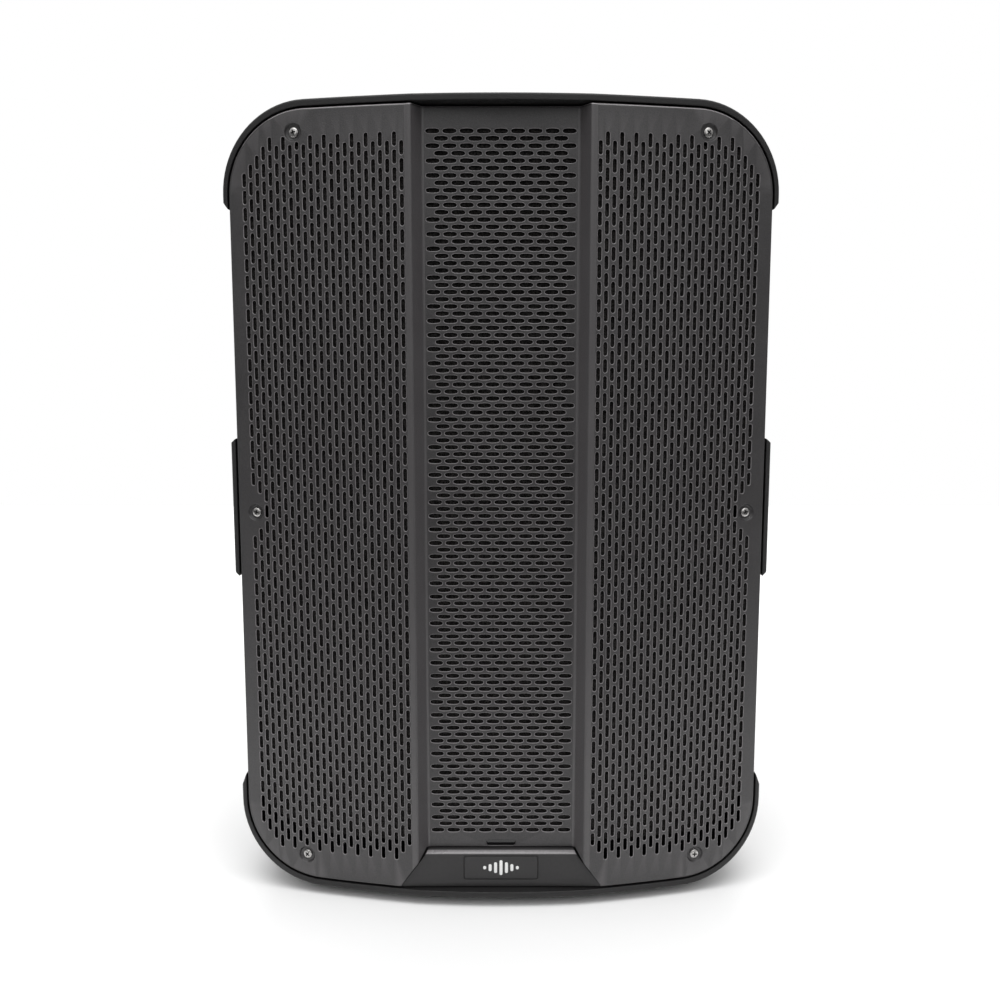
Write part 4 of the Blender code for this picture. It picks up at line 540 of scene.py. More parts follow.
def carve(target, *tools, operation="DIFFERENCE"):
    """Applies Booleans to target at once and removes the tools."""
    for tool in tools:
        change = target.modifiers.new(tool.name, "BOOLEAN")
        change.operation = operation
        change.solver = "EXACT"
        change.object = tool
    settle(target)
    for tool in tools:
        bpy.data.objects.remove(tool)
    return target


def settle(target, sharp=32.0):
    """Applies every modifier on target."""
    graph = bpy.context.evaluated_depsgraph_get()
    mesh = bpy.data.meshes.new_from_object(target.evaluated_get(graph))
    target.modifiers.clear()
    target.data = mesh
    shade(mesh, sharp)
    return target


def soften(target, width, segments=2, angle=40.0, sharp=32.0):
    """Rounds the edges that turn by more than the angle."""
    change = target.modifiers.new("soften", "BEVEL")
    change.width = width
    change.segments = segments
    change.limit_method = "ANGLE"
    change.angle_limit = math.radians(angle)
    change.harden_normals = False
    change.use_clamp_overlap = True
    return settle(target, sharp)


def joined(name, parts):
    """One object from several, which keep their own materials."""
    mesh = bpy.data.meshes.new(name)
    shape = bmesh.new()
    looks = []
    for part in parts:
        for slot in part.data.materials:
            if slot not in looks:
                looks.append(slot)
        before = len(shape.faces)
        shape.from_mesh(part.data)
        shape.faces.ensure_lookup_table()
        own = [looks.index(slot) for slot in part.data.materials]
        for face in shape.faces[before:]:
            face.material_index = own[face.material_index] if own else 0
    shape.to_mesh(mesh)
    shape.free()
    for slot in looks:
        mesh.materials.append(slot)
    shade(mesh)
    made = bpy.data.objects.new(name, mesh)
    bpy.context.scene.collection.objects.link(made)
    for part in parts:
        bpy.data.objects.remove(part)
    return made


# ------------------------------------------------------ plan shape of the front


def wing_share(x):
    """How far out on a wing x lies, from 0 at the ridge to 1 at the side."""
    return max(abs(x) - RIDGE_X, 0) / (GRILLE_HIGH.x - RIDGE_X)


def swept_y(x):
    """The front's plan line outside the ridges, with the wings' slight crown."""
    t = wing_share(x)
    return RIDGE_Y + max(abs(x) - RIDGE_X, 0) * SWEEP - 4 * CROWN * t * (1 - t)


def wing_slope(x):
    """The wing's angle to the X axis at x."""
    return math.atan(SWEEP - 4 * CROWN * (1 - 2 * wing_share(x)) / (GRILLE_HIGH.x - RIDGE_X))


def rim_y(x):
    """The rim's front edge, which bows forward between the ridges."""
    share = min(abs(x) / RIDGE_X, 1)
    return swept_y(x) - BOW * (1 - share * share)


def bend_points(corner, before, after, radius, steps):
    """Points of a fillet at a corner between two unit directions."""
    turn = before.angle(after)
    reach = radius * math.tan(turn / 2)
    a, b = corner - before * reach, corner + after * reach
    weight = math.cos(turn / 2)
    points = []
    for k in range(steps + 1):
        t = k / steps
        share = [(1 - t) ** 2, 2 * t * (1 - t) * weight, t * t]
        points.append((a * share[0] + corner * share[1] + b * share[2]) / sum(share))
    return points


def section_line():
    """The grille's front line in plan, from the middle to the split: floor, wall, ridge and wing."""
    floor_y = RIDGE_Y + CHANNEL_DEPTH
    floor = Vector((CHANNEL_HALF, floor_y))
    ridge = Vector((RIDGE_X, RIDGE_Y - 0.0004))
    flat = Vector((1, 0))
    wall = (ridge - floor).normalized()
    wing_start = Vector((SPLIT_X, swept_y(SPLIT_X)))
    crest = ((wing_start - ridge).normalized() + flat).normalized()
    line = bend_points(floor, flat, wall, FLOOR_BEND, 5)
    line += bend_points(ridge, wall, crest, RIDGE_BEND, 6)
    slope = math.tan(wing_slope(wing_start.x))
    start = line[-1]
    first = crest.y / crest.x
    length = wing_start.x - start.x
    for k in range(1, 5):
        t = k / 4
        h = (2 * t**3 - 3 * t**2 + 1) * start.y + (t**3 - 2 * t**2 + t) * length * first
        h += (3 * t**2 - 2 * t**3) * wing_start.y + (t**3 - t**2) * length * slope
        line.append(Vector((start.x + length * t, h)))
    return line


SECTION = section_line()


def front_y(x):
    """The grille's front surface at x."""
    x = abs(x)
    if x >= SECTION[-1].x:
        return swept_y(x)
    if x <= SECTION[0].x:
        return SECTION[0].y
    for a, b in zip(SECTION, SECTION[1:]):
        if x <= b.x:
            return a.y + (b.y - a.y) * (x - a.x) / (b.x - a.x)


# ------------------------------------------------------------------- shells


def face_loop(half_width, low, high, radius, depth_at, knots=()):
    """A round-cornered loop in the XZ plane whose Y follows depth_at(x)."""
    upper = []
    for side in (1, -1):
        for k in range(CORNER_STEPS + 1):
            angle = math.pi / 2 * k / CORNER_STEPS
            angle = angle if side > 0 else math.pi / 2 + angle
            x = side * (half_width - radius) + radius * math.cos(angle)
            upper.append((x, high - radius + radius * math.sin(angle)))
        if side > 0:
            upper.extend((x, high) for x in sorted(knots, reverse=True))
    lower = [(x, low + high - z) for x, z in reversed(upper)]
    return [(x, depth_at(x), z) for x, z in upper + lower]


def rim_knots():
    """X of the points along the level edges of the rim."""
    side = [RIDGE_X * k / 6 for k in range(1, 7)]
    length = HALF_WIDTH - CORNER_RADIUS - RIDGE_X
    side += [RIDGE_X + length * k / 6 for k in range(1, 6)]
    return [-x for x in reversed(side)] + [0.0] + side


def outer_loop(inset, depth_at):
    """The front shell's outside outline."""
    low, high = LOW_Z + inset, HIGH_Z - inset
    return face_loop(HALF_WIDTH - inset, low, high, CORNER_RADIUS - inset, depth_at, rim_knots())


def pocket_loop(inset, depth_at):
    """The outline of the pocket that the grille sits in."""
    low, high = LOW_Z + RIM_TOP + inset, HIGH_Z - RIM_TOP - inset
    half, radius = HALF_WIDTH - RIM_SIDE - inset, CORNER_RADIUS - RIM_SIDE - inset
    return face_loop(half, low, high, radius, depth_at, rim_knots())


def flat_at(y):
    return lambda x: y


def behind(depth):
    return lambda x: rim_y(x) + depth


def front_shell_loops():
    """From the baffle's back, round the seam and the lip, to the baffle's front."""
    loops = [outer_loop(WALL, flat_at(BAFFLE_Y + BAFFLE_THICKNESS)), outer_loop(WALL, flat_at(SEAM_Y))]
    loops.append(outer_loop(SEAM_GROOVE, flat_at(SEAM_Y)))
    loops.append(outer_loop(0.0006, flat_at(SEAM_Y - SEAM_STEP + 0.0004)))
    loops.append(outer_loop(0, flat_at(SEAM_Y - SEAM_STEP - 0.0004)))
    loops.append(outer_loop(0, flat_at(SEAM_Y - 4 * SEAM_STEP)))
    loops += [outer_loop(inset, behind(depth)) for inset, depth in quarter(RIM_ROUND, 6)]
    loops += [pocket_loop(-inset, behind(depth)) for depth, inset in quarter(RIM_INNER_ROUND, 3)]

    def ledge(x):
        return swept_y(x) + FLANGE + GAP

    loops.append(pocket_loop(0, ledge))
    loops.append(pocket_loop(REBATE_WIDTH, ledge))
    loops.append(pocket_loop(REBATE_WIDTH, flat_at(BAFFLE_Y)))
    return loops


def notch_tools():
    """Cutters for the rim between the lips and the side tabs."""
    inner, outer = GRILLE_HIGH.x, HALF_WIDTH
    past = (outer + REACH - inner) / (outer - inner)
    tab_low, tab_high = MIDDLE_Z - SIDE_TAB[0] / 2, MIDDLE_Z + SIDE_TAB[0] / 2
    lip_foot, lip_head = LOW_Z + BOTTOM_LIP[0], HIGH_Z - TOP_LIP[0]
    rows = {
        "upper": ((lip_head, lip_head - TOP_LIP[1]), (tab_high, tab_high + SIDE_TAB[1])),
        "lower": ((tab_low, tab_low - SIDE_TAB[1]), (lip_foot, lip_foot + BOTTOM_LIP[1])),
    }
    tools = []
    for row, ends in rows.items():
        for sign in (-1, 1):
            outline = []
            for k, (at_outer, at_inner) in enumerate(ends):
                far = at_inner + (at_outer - at_inner) * past
                edge = [(sign * inner, at_inner), (sign * (outer + REACH), far)]
                outline.extend(edge if k == 0 else edge[::-1])
            name = f"notch_{row}_{sign}"
            tools.append(prism(name, outline, -NOTCH_BACK_Y, -FRONT_Y + REACH, at=FACING_FRONT))
    return tools


def make_front_shell(looks):
    """The front moulding, with its notched rim and the holes in its baffle."""
    shell = build("front_shell_moulding", *stripped(front_shell_loops()), looks["shell"])
    carve(shell, *notch_tools())
    through = (-BAFFLE_Y + REACH, -BAFFLE_Y - BAFFLE_THICKNESS - REACH)
    woofer, horn = middle_of("woofer_gasket"), middle_of("horn")
    woofer_at, horn_at = place((0, 0, woofer.z), FACING_FRONT), place((0, 0, horn.z), FACING_FRONT)
    tools = [rod("woofer_hole", WOOFER_HOLE, *through, at=woofer_at, count=96)]
    tools.append(prism("horn_hole", rounded(HORN_HOLE, 0.004), *through, at=horn_at))
    for side in ("left", "right"):
        port = middle_of(f"port_tube_{side}")
        port_at = place((port.x, 0, port.z), FACING_FRONT)
        tools.append(rod(f"port_hole_{side}", PORT_HOLE, *through, at=port_at, count=48))
    carve(shell, *tools)
    soften(shell, 0.0005)
    even_normals(shell)
    return show(shell, "shell", "front_shell")


def rear_loop(half_width, z_inset, radius, y):
    return face_loop(half_width, LOW_Z + z_inset, HIGH_Z - z_inset, radius, flat_at(y))


def rear_sections(inset):
    """(half width, Z inset, corner radius, Y) of the rear moulding, front to back."""
    step = REAR_STEP_IN
    return [
        (HALF_WIDTH - step - inset, step + inset, CORNER_RADIUS - inset, SEAM_Y + SEAM_STEP),
        (HALF_WIDTH - TAPER_START[0] - inset, step + inset, CORNER_RADIUS - inset, TAPER_START[1]),
        (BACK_HALF_WIDTH - inset, step + inset, BACK_RADIUS - inset, BACK_Y - BACK_ROUND),
    ]


def between(first, second, share):
    return tuple(a + (b - a) * share for a, b in zip(first, second))


def rear_shell_loops():
    """From the inside of the back, out over the seam and back round to the outside."""
    blend = 0.03
    inner = rear_sections(WALL)
    end = (inner[-1][0] - WALL, inner[-1][1] + WALL, inner[-1][2] - WALL, BACK_Y - WALL)
    mouth = (HALF_WIDTH - REAR_STEP_IN - WALL, REAR_STEP_IN + WALL, CORNER_RADIUS - WALL, SEAM_Y + GAP)
    sections = [end, inner[2], inner[1], mouth]
    sections.append((HALF_WIDTH - SEAM_GROOVE, SEAM_GROOVE, CORNER_RADIUS - SEAM_GROOVE, SEAM_Y + GAP))
    outer = rear_sections(0)
    half, step, radius, y = outer[0]
    sections.append((half - 0.0004, step + 0.0004, radius - 0.0004, y - 0.0006))
    sections.append((half, step, radius, y + 0.0004))
    start, stop = outer[1], outer[2]
    sections += [between(start, outer[0], blend), start, between(start, stop, blend)]
    half, step, radius, y = stop
    for inset, drop in quarter(BACK_ROUND, 10):
        sections.append((half - inset, step + inset, radius - inset, BACK_Y - drop))
    return [rear_loop(*section) for section in sections]


def side_handle_frame(sign):
    """On the middle of the tapered side: own X up, own Z straight out of the wall."""
    start = Vector((HALF_WIDTH - TAPER_START[0], TAPER_START[1], 0))
    end = Vector((BACK_HALF_WIDTH, BACK_Y - BACK_ROUND, 0))
    along = (end - start).normalized()
    out = Vector((along.y * sign, -along.x, 0))
    centre = (start + end) / 2
    return place((centre.x * sign, centre.y, MIDDLE_Z), basis((0, 0, 1), out.cross(Vector((0, 0, 1))), out))


def shell_screw_spots():
    """Where the two shells are screwed together, seen from behind: X and Z."""
    rows = (HIGH_Z - 0.034, (HIGH_Z + PANEL_Z) / 2 - 0.050, PANEL_Z - 0.100, LOW_Z + 0.034)
    return [(sign * 0.128, z) for z in rows for sign in (-1, 1)]


def make_rear_shell(looks):
    """The rear moulding, with the panel's tray, and the screws that close it."""
    shell = build("rear_shell_moulding", *stripped(rear_shell_loops()), looks["shell"])
    size = (PLATE_HIGH.x - PLATE_LOW.x, PLATE_HIGH.z - PLATE_LOW.z)
    at = place((0, BACK_Y, PANEL_Z), FACING_BACK)
    recess = BACK_Y - PLATE_LOW.y + 0.0021
    clear = [s + 0.002 for s in size]
    tray = prism("tray", rounded([s + 2 * WALL for s in clear], 0.013), -recess - WALL, -0.001, at=at)
    carve(shell, tray, operation="UNION")
    tools = [block("recess", clear, 0.008, -recess, REACH, 0.0001, at=at)]
    window = rounded([s - PANEL_WINDOW_IN for s in size], 0.008)
    tools.append(prism("opening", window, -recess - WALL - REACH, 0, at=at))
    for sign in (-1, 1):
        tools.append(handle_hole(f"hole_{sign}", SIDE_HANDLE[0], side_handle_frame(sign)))
    tools.append(handle_hole("hole_top", TOP_HANDLE[0], place((0, TOP_HANDLE_Y, TOP_FACE_Z))))
    for name, x in INSERT_SPOTS:
        at = place((x, TOP_HANDLE_Y, TOP_FACE_Z))
        tools.append(rod(f"bore_{name}", INSERT_BORE, -WALL - REACH, REACH, at=at))
    rear = place((0, BACK_Y, REAR_INSERT_Z), FACING_BACK)
    tools.append(rod("bore_rear", INSERT_BORE, -WALL - REACH, REACH, at=rear))
    tools.append(rod("bore_pole", POLE_BORE, LOW_Z - REACH, LOW_Z + WALL + REACH, count=64))
    for k, (x, z) in enumerate(shell_screw_spots()):
        at = place((x, BACK_Y, z), FACING_BACK)
        tools.append(rod(f"sink_{k}", 0.0060, -SHELL_SCREW_SINK, REACH, at=at))
    carve(shell, *tools)
    soften(shell, 0.0009, 3, 42.0)
    even_normals(shell)
    for k, (x, z) in enumerate(shell_screw_spots()):
        seat = place((x, BACK_Y - SHELL_SCREW_SINK, z), FACING_BACK)
        show(pan_screw(f"shell_screw_{k}", looks["black_screw"], seat, 0.0046), "screw")
    return show(shell, "shell", "rear_shell")


def handle_hole(name, size, at):
    """A cutter for the hole that a handle's dish goes through."""
    hole = [s - 2 * HANDLE_FLANGE + 0.0012 for s in size]
    return prism(name, rounded(hole, HANDLE_RADIUS), -WALL - REACH, REACH, at=at)


# ------------------------------------------------------------------- screws


def cross_tool(name, reach, depth, at):
    """A tapered Phillips cutter: two crossed wedges."""
    bars = []
    for turn in (0, math.pi / 2):
        top, foot = (reach, reach * 0.26), (reach * 0.42, reach * 0.18)
        loops = []
        for half, z in ((foot, -depth), (top, 0.0), ((top[0] * 1.1, top[1] * 1.1), depth * 0.5)):
            corners = ((half[0], half[1]), (-half[0], half[1]), (-half[0], -half[1]), (half[0], -half[1]))
            loops.append([(x, y, z) for x, y in corners])
        bars.append(build(f"{name}_{turn:.0f}", *lofted(loops), at=at @ Matrix.Rotation(turn, 4, "Z")))
    return bars


def pan_screw(name, material, at, radius, height=None, shank=0.010, turn=0.4, recess=None):
    """A pan-head Phillips screw seated at its frame's origin."""
    height = height or radius * 0.52
    crown = [(0, height)]
    for k in range(1, 8):
        angle = k / 7 * math.pi / 2
        rise = 0.36 + 0.64 * math.cos(angle) ** 0.75
        crown.append((radius * math.sin(angle) ** 0.9, height * rise))
    profile = crown + [(radius, height * 0.12), (radius * 0.96, 0), (radius * 0.44, 0)]
    for k in range(10):
        z = -shank * (k + 0.5) / 10
        profile += [(radius * 0.44, z + shank * 0.02), (radius * 0.36, z)]
    profile += [(radius * 0.2, -shank), (0, -shank * 1.08)]
    screw = turned(name, profile, material, at, 40)
    cutter = at @ Matrix.Translation((0, 0, height * 1.001)) @ Matrix.Rotation(turn, 4, "Z")
    carve(screw, *cross_tool(name + "_cut", radius * 0.56, height * 0.85, cutter))
    # The faces in the cross recess get the recess material, darker metal: painted shade.
    if recess:
        axis, foot = at.col[2].to_3d().normalized(), at.translation
        reach = radius * 0.60

        def in_recess(centre, normal):
            rise = (centre - foot).dot(axis)
            out = (centre - foot - axis * rise).length
            return rise > height * 0.05 and out < reach and (normal.dot(axis) < 0.6 or rise < height * 0.4)

        paint_highlight_and_shade(screw, recess, in_recess)
    return screw


def on_wing(x, z, sink=0.0):
    """A frame on the grille's front surface, own Z out of the sheet."""
    slope = wing_slope(x)
    along = Vector((math.cos(slope), math.copysign(1, x) * math.sin(slope), 0))
    out = along.cross(Vector((0, 0, 1)))
    return place(Vector((x, front_y(x), z)) - out * sink, basis(along, (0, 0, 1), out))


def grille_screw_names():
    return [f"grille_screw_{row}_{side}" for row in ("top", "side", "bottom") for side in ("left", "right")]


def screw_spot(node):
    """X and Z of a grille screw, from the middle of its head in the CAD model."""
    low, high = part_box(node)
    out = on_wing((low.x + high.x) / 2, 0).col[2].to_3d()
    head = max((v.co for v in NODES[node].data.vertices), key=out.dot)
    return head.x, head.z


def make_grille_screws(looks):
    """The six screws in the grille's dimples, each turned differently."""
    for k, node in enumerate(grille_screw_names()):
        x, z = screw_spot(node)
        seat = on_wing(x, z, DIMPLE_DEPTH + 0.0001)
        # The cross recesses get the darker recess material as painted shade.
        screw = pan_screw(f"{node}_detail", looks["screw"], seat, 0.0040, 0.0021, shank=0.0122,
                          turn=0.3 + 0.55 * k, recess=looks["recess"])
        show(screw, "screw", node)


# ------------------------------------------------------------------- grille


def slot_loop(centre, half_length, grow=0.0, upright=True):
    """A slot's outline in X and Z."""
    if not upright:
        return channel_slot_loop(centre, half_length + grow, CHANNEL_SLOT_HALF + grow)
    radius = SLOT_HALF_WIDTH + grow
    straight = half_length - SLOT_HALF_WIDTH
    loop = []
    for end in (1, -1):
        for k in range(SLOT_ARC):
            angle = math.pi * k / (SLOT_ARC - 1) + (0 if end > 0 else math.pi)
            across, along = radius * math.cos(angle), end * straight + radius * math.sin(angle)
            loop.append((centre[0] + across, centre[1] + along))
    return loop


def channel_slot_loop(centre, half_length, half_height):
    """A level slot whose ends are rounder than half circles."""
    loop = []
    for k in range(2 * SLOT_ARC):
        angle = math.tau * (k + 0.5) / (2 * SLOT_ARC)
        c, s = math.cos(angle), math.sin(angle)
        dx = half_length * math.copysign(abs(c) ** (2 / CHANNEL_SLOT_POWER), c)
        dz = half_height * math.copysign(abs(s) ** (2 / CHANNEL_SLOT_POWER), s)
        loop.append((centre[0] + dx, centre[1] + dz))
    return loop


def wing_slots(sign, screws):
    """Staggered upright slots, as (centre, half length), stepped off at the corners and round the screws."""
    slots = []
    for column in range(WING_COLUMNS):
        x = sign * column_x(column)
        odd = column % 2
        first = max(0, math.ceil((4 - column - odd) / 2))
        last = WING_ROWS - 1 - (column < 2) - (column == WING_COLUMNS - 1)
        for row in range(first, last + 1):
            z = WING_TOP_Z - WING_PITCH * (row + odd / 2)
            half = SLOT_LENGTH / 2
            low, high = z - half, z + half
            skip = False
            for sx, sz in screws:
                reach = DIMPLE_RADIUS * DIMPLE_RIM + SLOT_HALF_WIDTH + SLOT_EDGE + 0.0002
                if abs(sz - MIDDLE_Z) < 0.05:
                    skip = skip or (column < 2 and abs(z - sz) < WING_PITCH * (1.5 - 0.75 * column))
                elif abs(x - sx) < reach:
                    room = math.sqrt(reach**2 - (x - sx) ** 2) - SLOT_HALF_WIDTH
                    low = max(low, sz + room) if z > sz else low
                    high = min(high, sz - room) if z < sz else high
            if not skip and high - low > 0.005:
                slots.append(((x, (low + high) / 2), (high - low) / 2))
    return slots


def channel_slots():
    """Staggered level slots, nine and eight to a row."""
    slots = []
    for row in range(CHANNEL_ROWS):
        count = CHANNEL_SLOTS - row % 2
        z = CHANNEL_TOP_Z - CHANNEL_ROW_PITCH * row
        for k in range(count):
            slots.append((((k - (count - 1) / 2) * CHANNEL_PITCH, z), SLOT_LENGTH / 2))
    return slots


def plate_edge(z, grow=0.0):
    """Half width of the name plate's sloped sides at height z."""
    share = (z - LOW_Z - PLATE_BOTTOM) / (PLATE_TOP - PLATE_BOTTOM)
    slope = (PLATE_BOTTOM_HALF - PLATE_TOP_HALF) / (PLATE_TOP - PLATE_BOTTOM)
    return PLATE_BOTTOM_HALF + (PLATE_TOP_HALF - PLATE_BOTTOM_HALF) * share + grow * math.hypot(1, slope)


def column_x(column):
    """Distance of a slot column from the middle, the outermost first."""
    return WING_LAST_X + (WING_FIRST_X - WING_LAST_X) * column / (WING_COLUMNS - 1)


def crown_lines():
    """Upright lines between slot columns where the flat sheet is folded to follow the wing's crown."""
    return [(column_x(c) + column_x(c + 1)) / 2 for c in range(0, WING_COLUMNS - 1, 2)]


def edge_knots(limit):
    """X of every fold that meets a level edge reaching out to the limit, left to right."""
    side = sorted({p.x for p in SECTION} | set(crown_lines()) | {SPLIT_X})
    side = [x for x in side if x < limit - 0.0005]
    return [-x for x in reversed(side)] + side


def sheet_radius(inset):
    """Corner radius of the grille's outline."""
    return CORNER_RADIUS - (HALF_WIDTH - GRILLE_HIGH.x) - inset


def sheet_outline(inset):
    """The grille's outline, counter-clockwise in X and Z, with the name plate's opening in its lower edge."""
    half, radius = GRILLE_HIGH.x - inset, sheet_radius(inset)
    low, high = GRILLE_LOW.z + inset, GRILLE_HIGH.z - inset
    loop = []
    for sx, sz, start in ((1, 1, 0), (-1, 1, 1), (-1, -1, 2), (1, -1, 3)):
        cx, cz = sx * (half - radius), (high - radius) if sz > 0 else (low + radius)
        for k in range(CORNER_STEPS + 1):
            angle = math.pi / 2 * (start + k / CORNER_STEPS)
            loop.append((cx + radius * math.cos(angle), cz + radius * math.sin(angle)))
        knots = edge_knots(half - radius)
        if (sx, sz) == (1, 1):
            loop += [(x, high) for x in reversed(knots)]
        if (sx, sz) == (-1, -1):
            top = LOW_Z + PLATE_TOP + PLATE_GROOVE
            foot, head = plate_edge(low, PLATE_GROOVE), plate_edge(top, PLATE_GROOVE)
            loop += [(x, low) for x in knots if x < -foot - 0.0004]
            loop += [(-foot, low), (-head, top)] + [(x, top) for x in knots if abs(x) < head - 0.0004]
            loop += [(head, top), (foot, low)] + [(x, low) for x in knots if x > foot + 0.0004]
    return loop


def clipped(loop, side, keep):
    """The part of a loop with side * x >= side * keep."""
    made = []
    for (ax, az), (bx, bz) in zip(loop, loop[1:] + loop[:1]):
        inside_a, inside_b = side * ax >= side * keep - 1e-9, side * bx >= side * keep - 1e-9
        if inside_a:
            made.append((ax, az))
        if inside_a != inside_b:
            t = (keep - ax) / (bx - ax)
            made.append((keep, az + (bz - az) * t))
    tidy = []
    for point in made:
        if not tidy or math.dist(point, tidy[-1]) > 1e-6:
            tidy.append(point)
    return tidy


def sheet_normal(x, step):
    """The front surface's outward normal at x, in X and Y, over a step to each side."""
    slope = (front_y(x + step) - front_y(x - step)) / (2 * step)
    return Vector((slope, -1)).normalized()


def at_depth(x, z, depth, step=0.00002):
    """A point below the grille's front surface."""
    normal = sheet_normal(x, step)
    return (x - normal.x * depth, front_y(x) - normal.y * depth, z)


def perforated(outline, holes, folds):
    """A sheet with the outline and holes, curved to the grille's front, with rounded hole edges and a back.

    A hole is a list of (loop, depth) steps from the front surface, the first of which is on it.
    folds are (x, low, high) upright lines along which the flat mesh can bend.
    Gives the points, the faces, and the numbers of the faces that round the slots' edges, which get a painted
    highlight.
    """
    points, constraints = [], []

    def add_loop(loop):
        start = len(points)
        points.extend(Vector(p) for p in loop)
        constraints.extend((start + k, start + (k + 1) % len(loop)) for k in range(len(loop)))
        return start

    add_loop(outline)
    starts = [add_loop(steps[0][0]) for steps in holes]
    for x, low, high in folds:
        points.extend((Vector((x, low)), Vector((x, high))))
        constraints.append((len(points) - 2, len(points) - 1))
    flat, _, flat_faces, origin, _, _ = delaunay_2d_cdt(points, constraints, [], 0, 1e-7)
    where = {}
    for index, sources in enumerate(origin):
        for source in sources:
            where[source] = index
    inside = keep_inside(flat, flat_faces, outline, holes, starts, where)
    verts = [at_depth(x, z, 0.0) for x, z in flat]
    back = len(verts)
    verts += [at_depth(x, z, SHEET) for x, z in flat]
    faces = [tuple(face) for face in inside]
    faces += [tuple(back + v for v in reversed(face)) for face in inside]
    highlight_rims = []
    for steps, start in zip(holes, starts):
        count = len(steps[0][0])
        ring = [where[start + k] for k in range(count)]
        last = [back + v for v in ring]
        # The faces that round each slot's edge are kept for the painted highlight.
        if count == 2 * SLOT_ARC:
            highlight_rims += range(len(faces), len(faces) + 3 * count)
        for loop, depth in steps[1:]:
            fresh = len(verts)
            verts += [at_depth(x, z, depth) for x, z in loop]
            following = list(range(fresh, fresh + count))
            faces += band(ring, following)
            ring = following
        faces += band(ring, last)
    return verts, faces, highlight_rims


def band(ring, following):
    """Faces between two closed rings of the same number of points."""
    count = len(ring)
    return [(ring[k], following[k], following[(k + 1) % count], ring[(k + 1) % count]) for k in range(count)]


def keep_inside(flat, faces, outline, holes, starts, where):
    """The flat faces that lie in the outline and in no hole."""
    hole_of = {}
    for number, (steps, start) in enumerate(zip(holes, starts)):
        for k in range(len(steps[0][0])):
            hole_of[where[start + k]] = number
    kept = []
    for face in faces:
        x = sum(flat[v].x for v in face) / len(face)
        z = sum(flat[v].y for v in face) / len(face)
        numbers = {hole_of.get(v) for v in face}
        in_hole = len(numbers) == 1 and None not in numbers and within(x, z, holes[numbers.pop()][0][0])
        if not in_hole and within(x, z, outline):
            kept.append(face)
    return kept


def within(x, z, loop):
    """Whether a point lies inside a closed loop."""
    inside = False
    for (ax, az), (bx, bz) in zip(loop, loop[1:] + loop[:1]):
        if (az > z) != (bz > z) and x < ax + (bx - ax) * (z - az) / (bz - az):
            inside = not inside
    return inside


def slot_steps(centre, half, upright):
    """A slot's rounded front edge and its wall."""
    return [
        (slot_loop(centre, half, SLOT_EDGE, upright), 0.0),
        (slot_loop(centre, half, SLOT_EDGE * 0.45, upright), SLOT_EDGE * 0.16),
        (slot_loop(centre, half, SLOT_EDGE * 0.10, upright), SLOT_EDGE * 0.55),
        (slot_loop(centre, half, 0.0, upright), SLOT_EDGE * 1.2),
        (slot_loop(centre, half, 0.0, upright), SHEET - 0.0002),
    ]


def dimple_steps(x, z):
    """A screw's dish, with its hole in the middle."""
    steps = []
    profile = ((DIMPLE_RIM, 0.0), (1.00, 0.00020), (0.95, 0.0010), (0.90, 0.0017), (0.84, 0.00220),
               (0.72, DIMPLE_DEPTH), (0.38, DIMPLE_DEPTH), (0.36, DIMPLE_DEPTH + 0.0002),
               (0.36, DIMPLE_DEPTH + SHEET), (0.80, DIMPLE_DEPTH + SHEET), (0.98, SHEET + 0.0003))
    for share, depth in profile:
        loop = [(x + px, z + pz) for px, pz in circle(DIMPLE_RADIUS * share, 36)]
        steps.append((loop, depth))
    return steps


def bent_edge(verts, faces, path, radius=FLANGE_ROUND):
    """Adds the bent flange along an open path of (x, z, outward x, outward z)."""
    profile = []
    for k in range(6):
        angle = math.pi / 2 * k / 5
        profile.append((radius * math.sin(angle), radius * (1 - math.cos(angle)), False))
    profile += [(radius, 0.0, True), (radius - SHEET * 0.8, 0.0, True), (radius - SHEET * 0.8, radius, False)]
    profile.append((0.0, SHEET, False))
    start = len(verts)
    for x, z, nx, nz in path:
        for out, depth, at_back in profile:
            px, pz = x + nx * out, z + nz * out
            y = swept_y(x) + FLANGE if at_back else front_y(x) + depth
            verts.append((px, y, pz))
    count = len(profile)
    for i in range(len(path) - 1):
        a, b = start + i * count, start + (i + 1) * count
        faces += [(a + k, a + k + 1, b + k + 1, b + k) for k in range(count - 1)]
    for end in (start, start + (len(path) - 1) * count):
        faces.append(tuple(range(end, end + count)))


def flange_path():
    """The outer outline from one side of the name plate round to the other, with outward directions."""
    loop = sheet_outline(FLANGE_ROUND)
    half = GRILLE_HIGH.x - FLANGE_ROUND
    low, high = GRILLE_LOW.z + FLANGE_ROUND, GRILLE_HIGH.z - FLANGE_ROUND
    radius = sheet_radius(FLANGE_ROUND)
    foot = plate_edge(low, PLATE_GROOVE)
    along_foot = [k for k, (x, z) in enumerate(loop) if abs(z - low) < 1e-9 and x <= foot + 1e-6]
    start = max(along_foot, key=lambda k: loop[k][0])
    loop = loop[start:] + loop[:start]
    path = []
    for x, z in loop:
        across = math.copysign(max(abs(x) - (half - radius), 0), x)
        along = max(z - (high - radius), 0) + min(z - (low + radius), 0)
        length = math.hypot(across, along)
        path.append((x, z, across / length, along / length))
        if abs(z - low) < 1e-9 and abs(x + foot) < 1e-6:
            return path


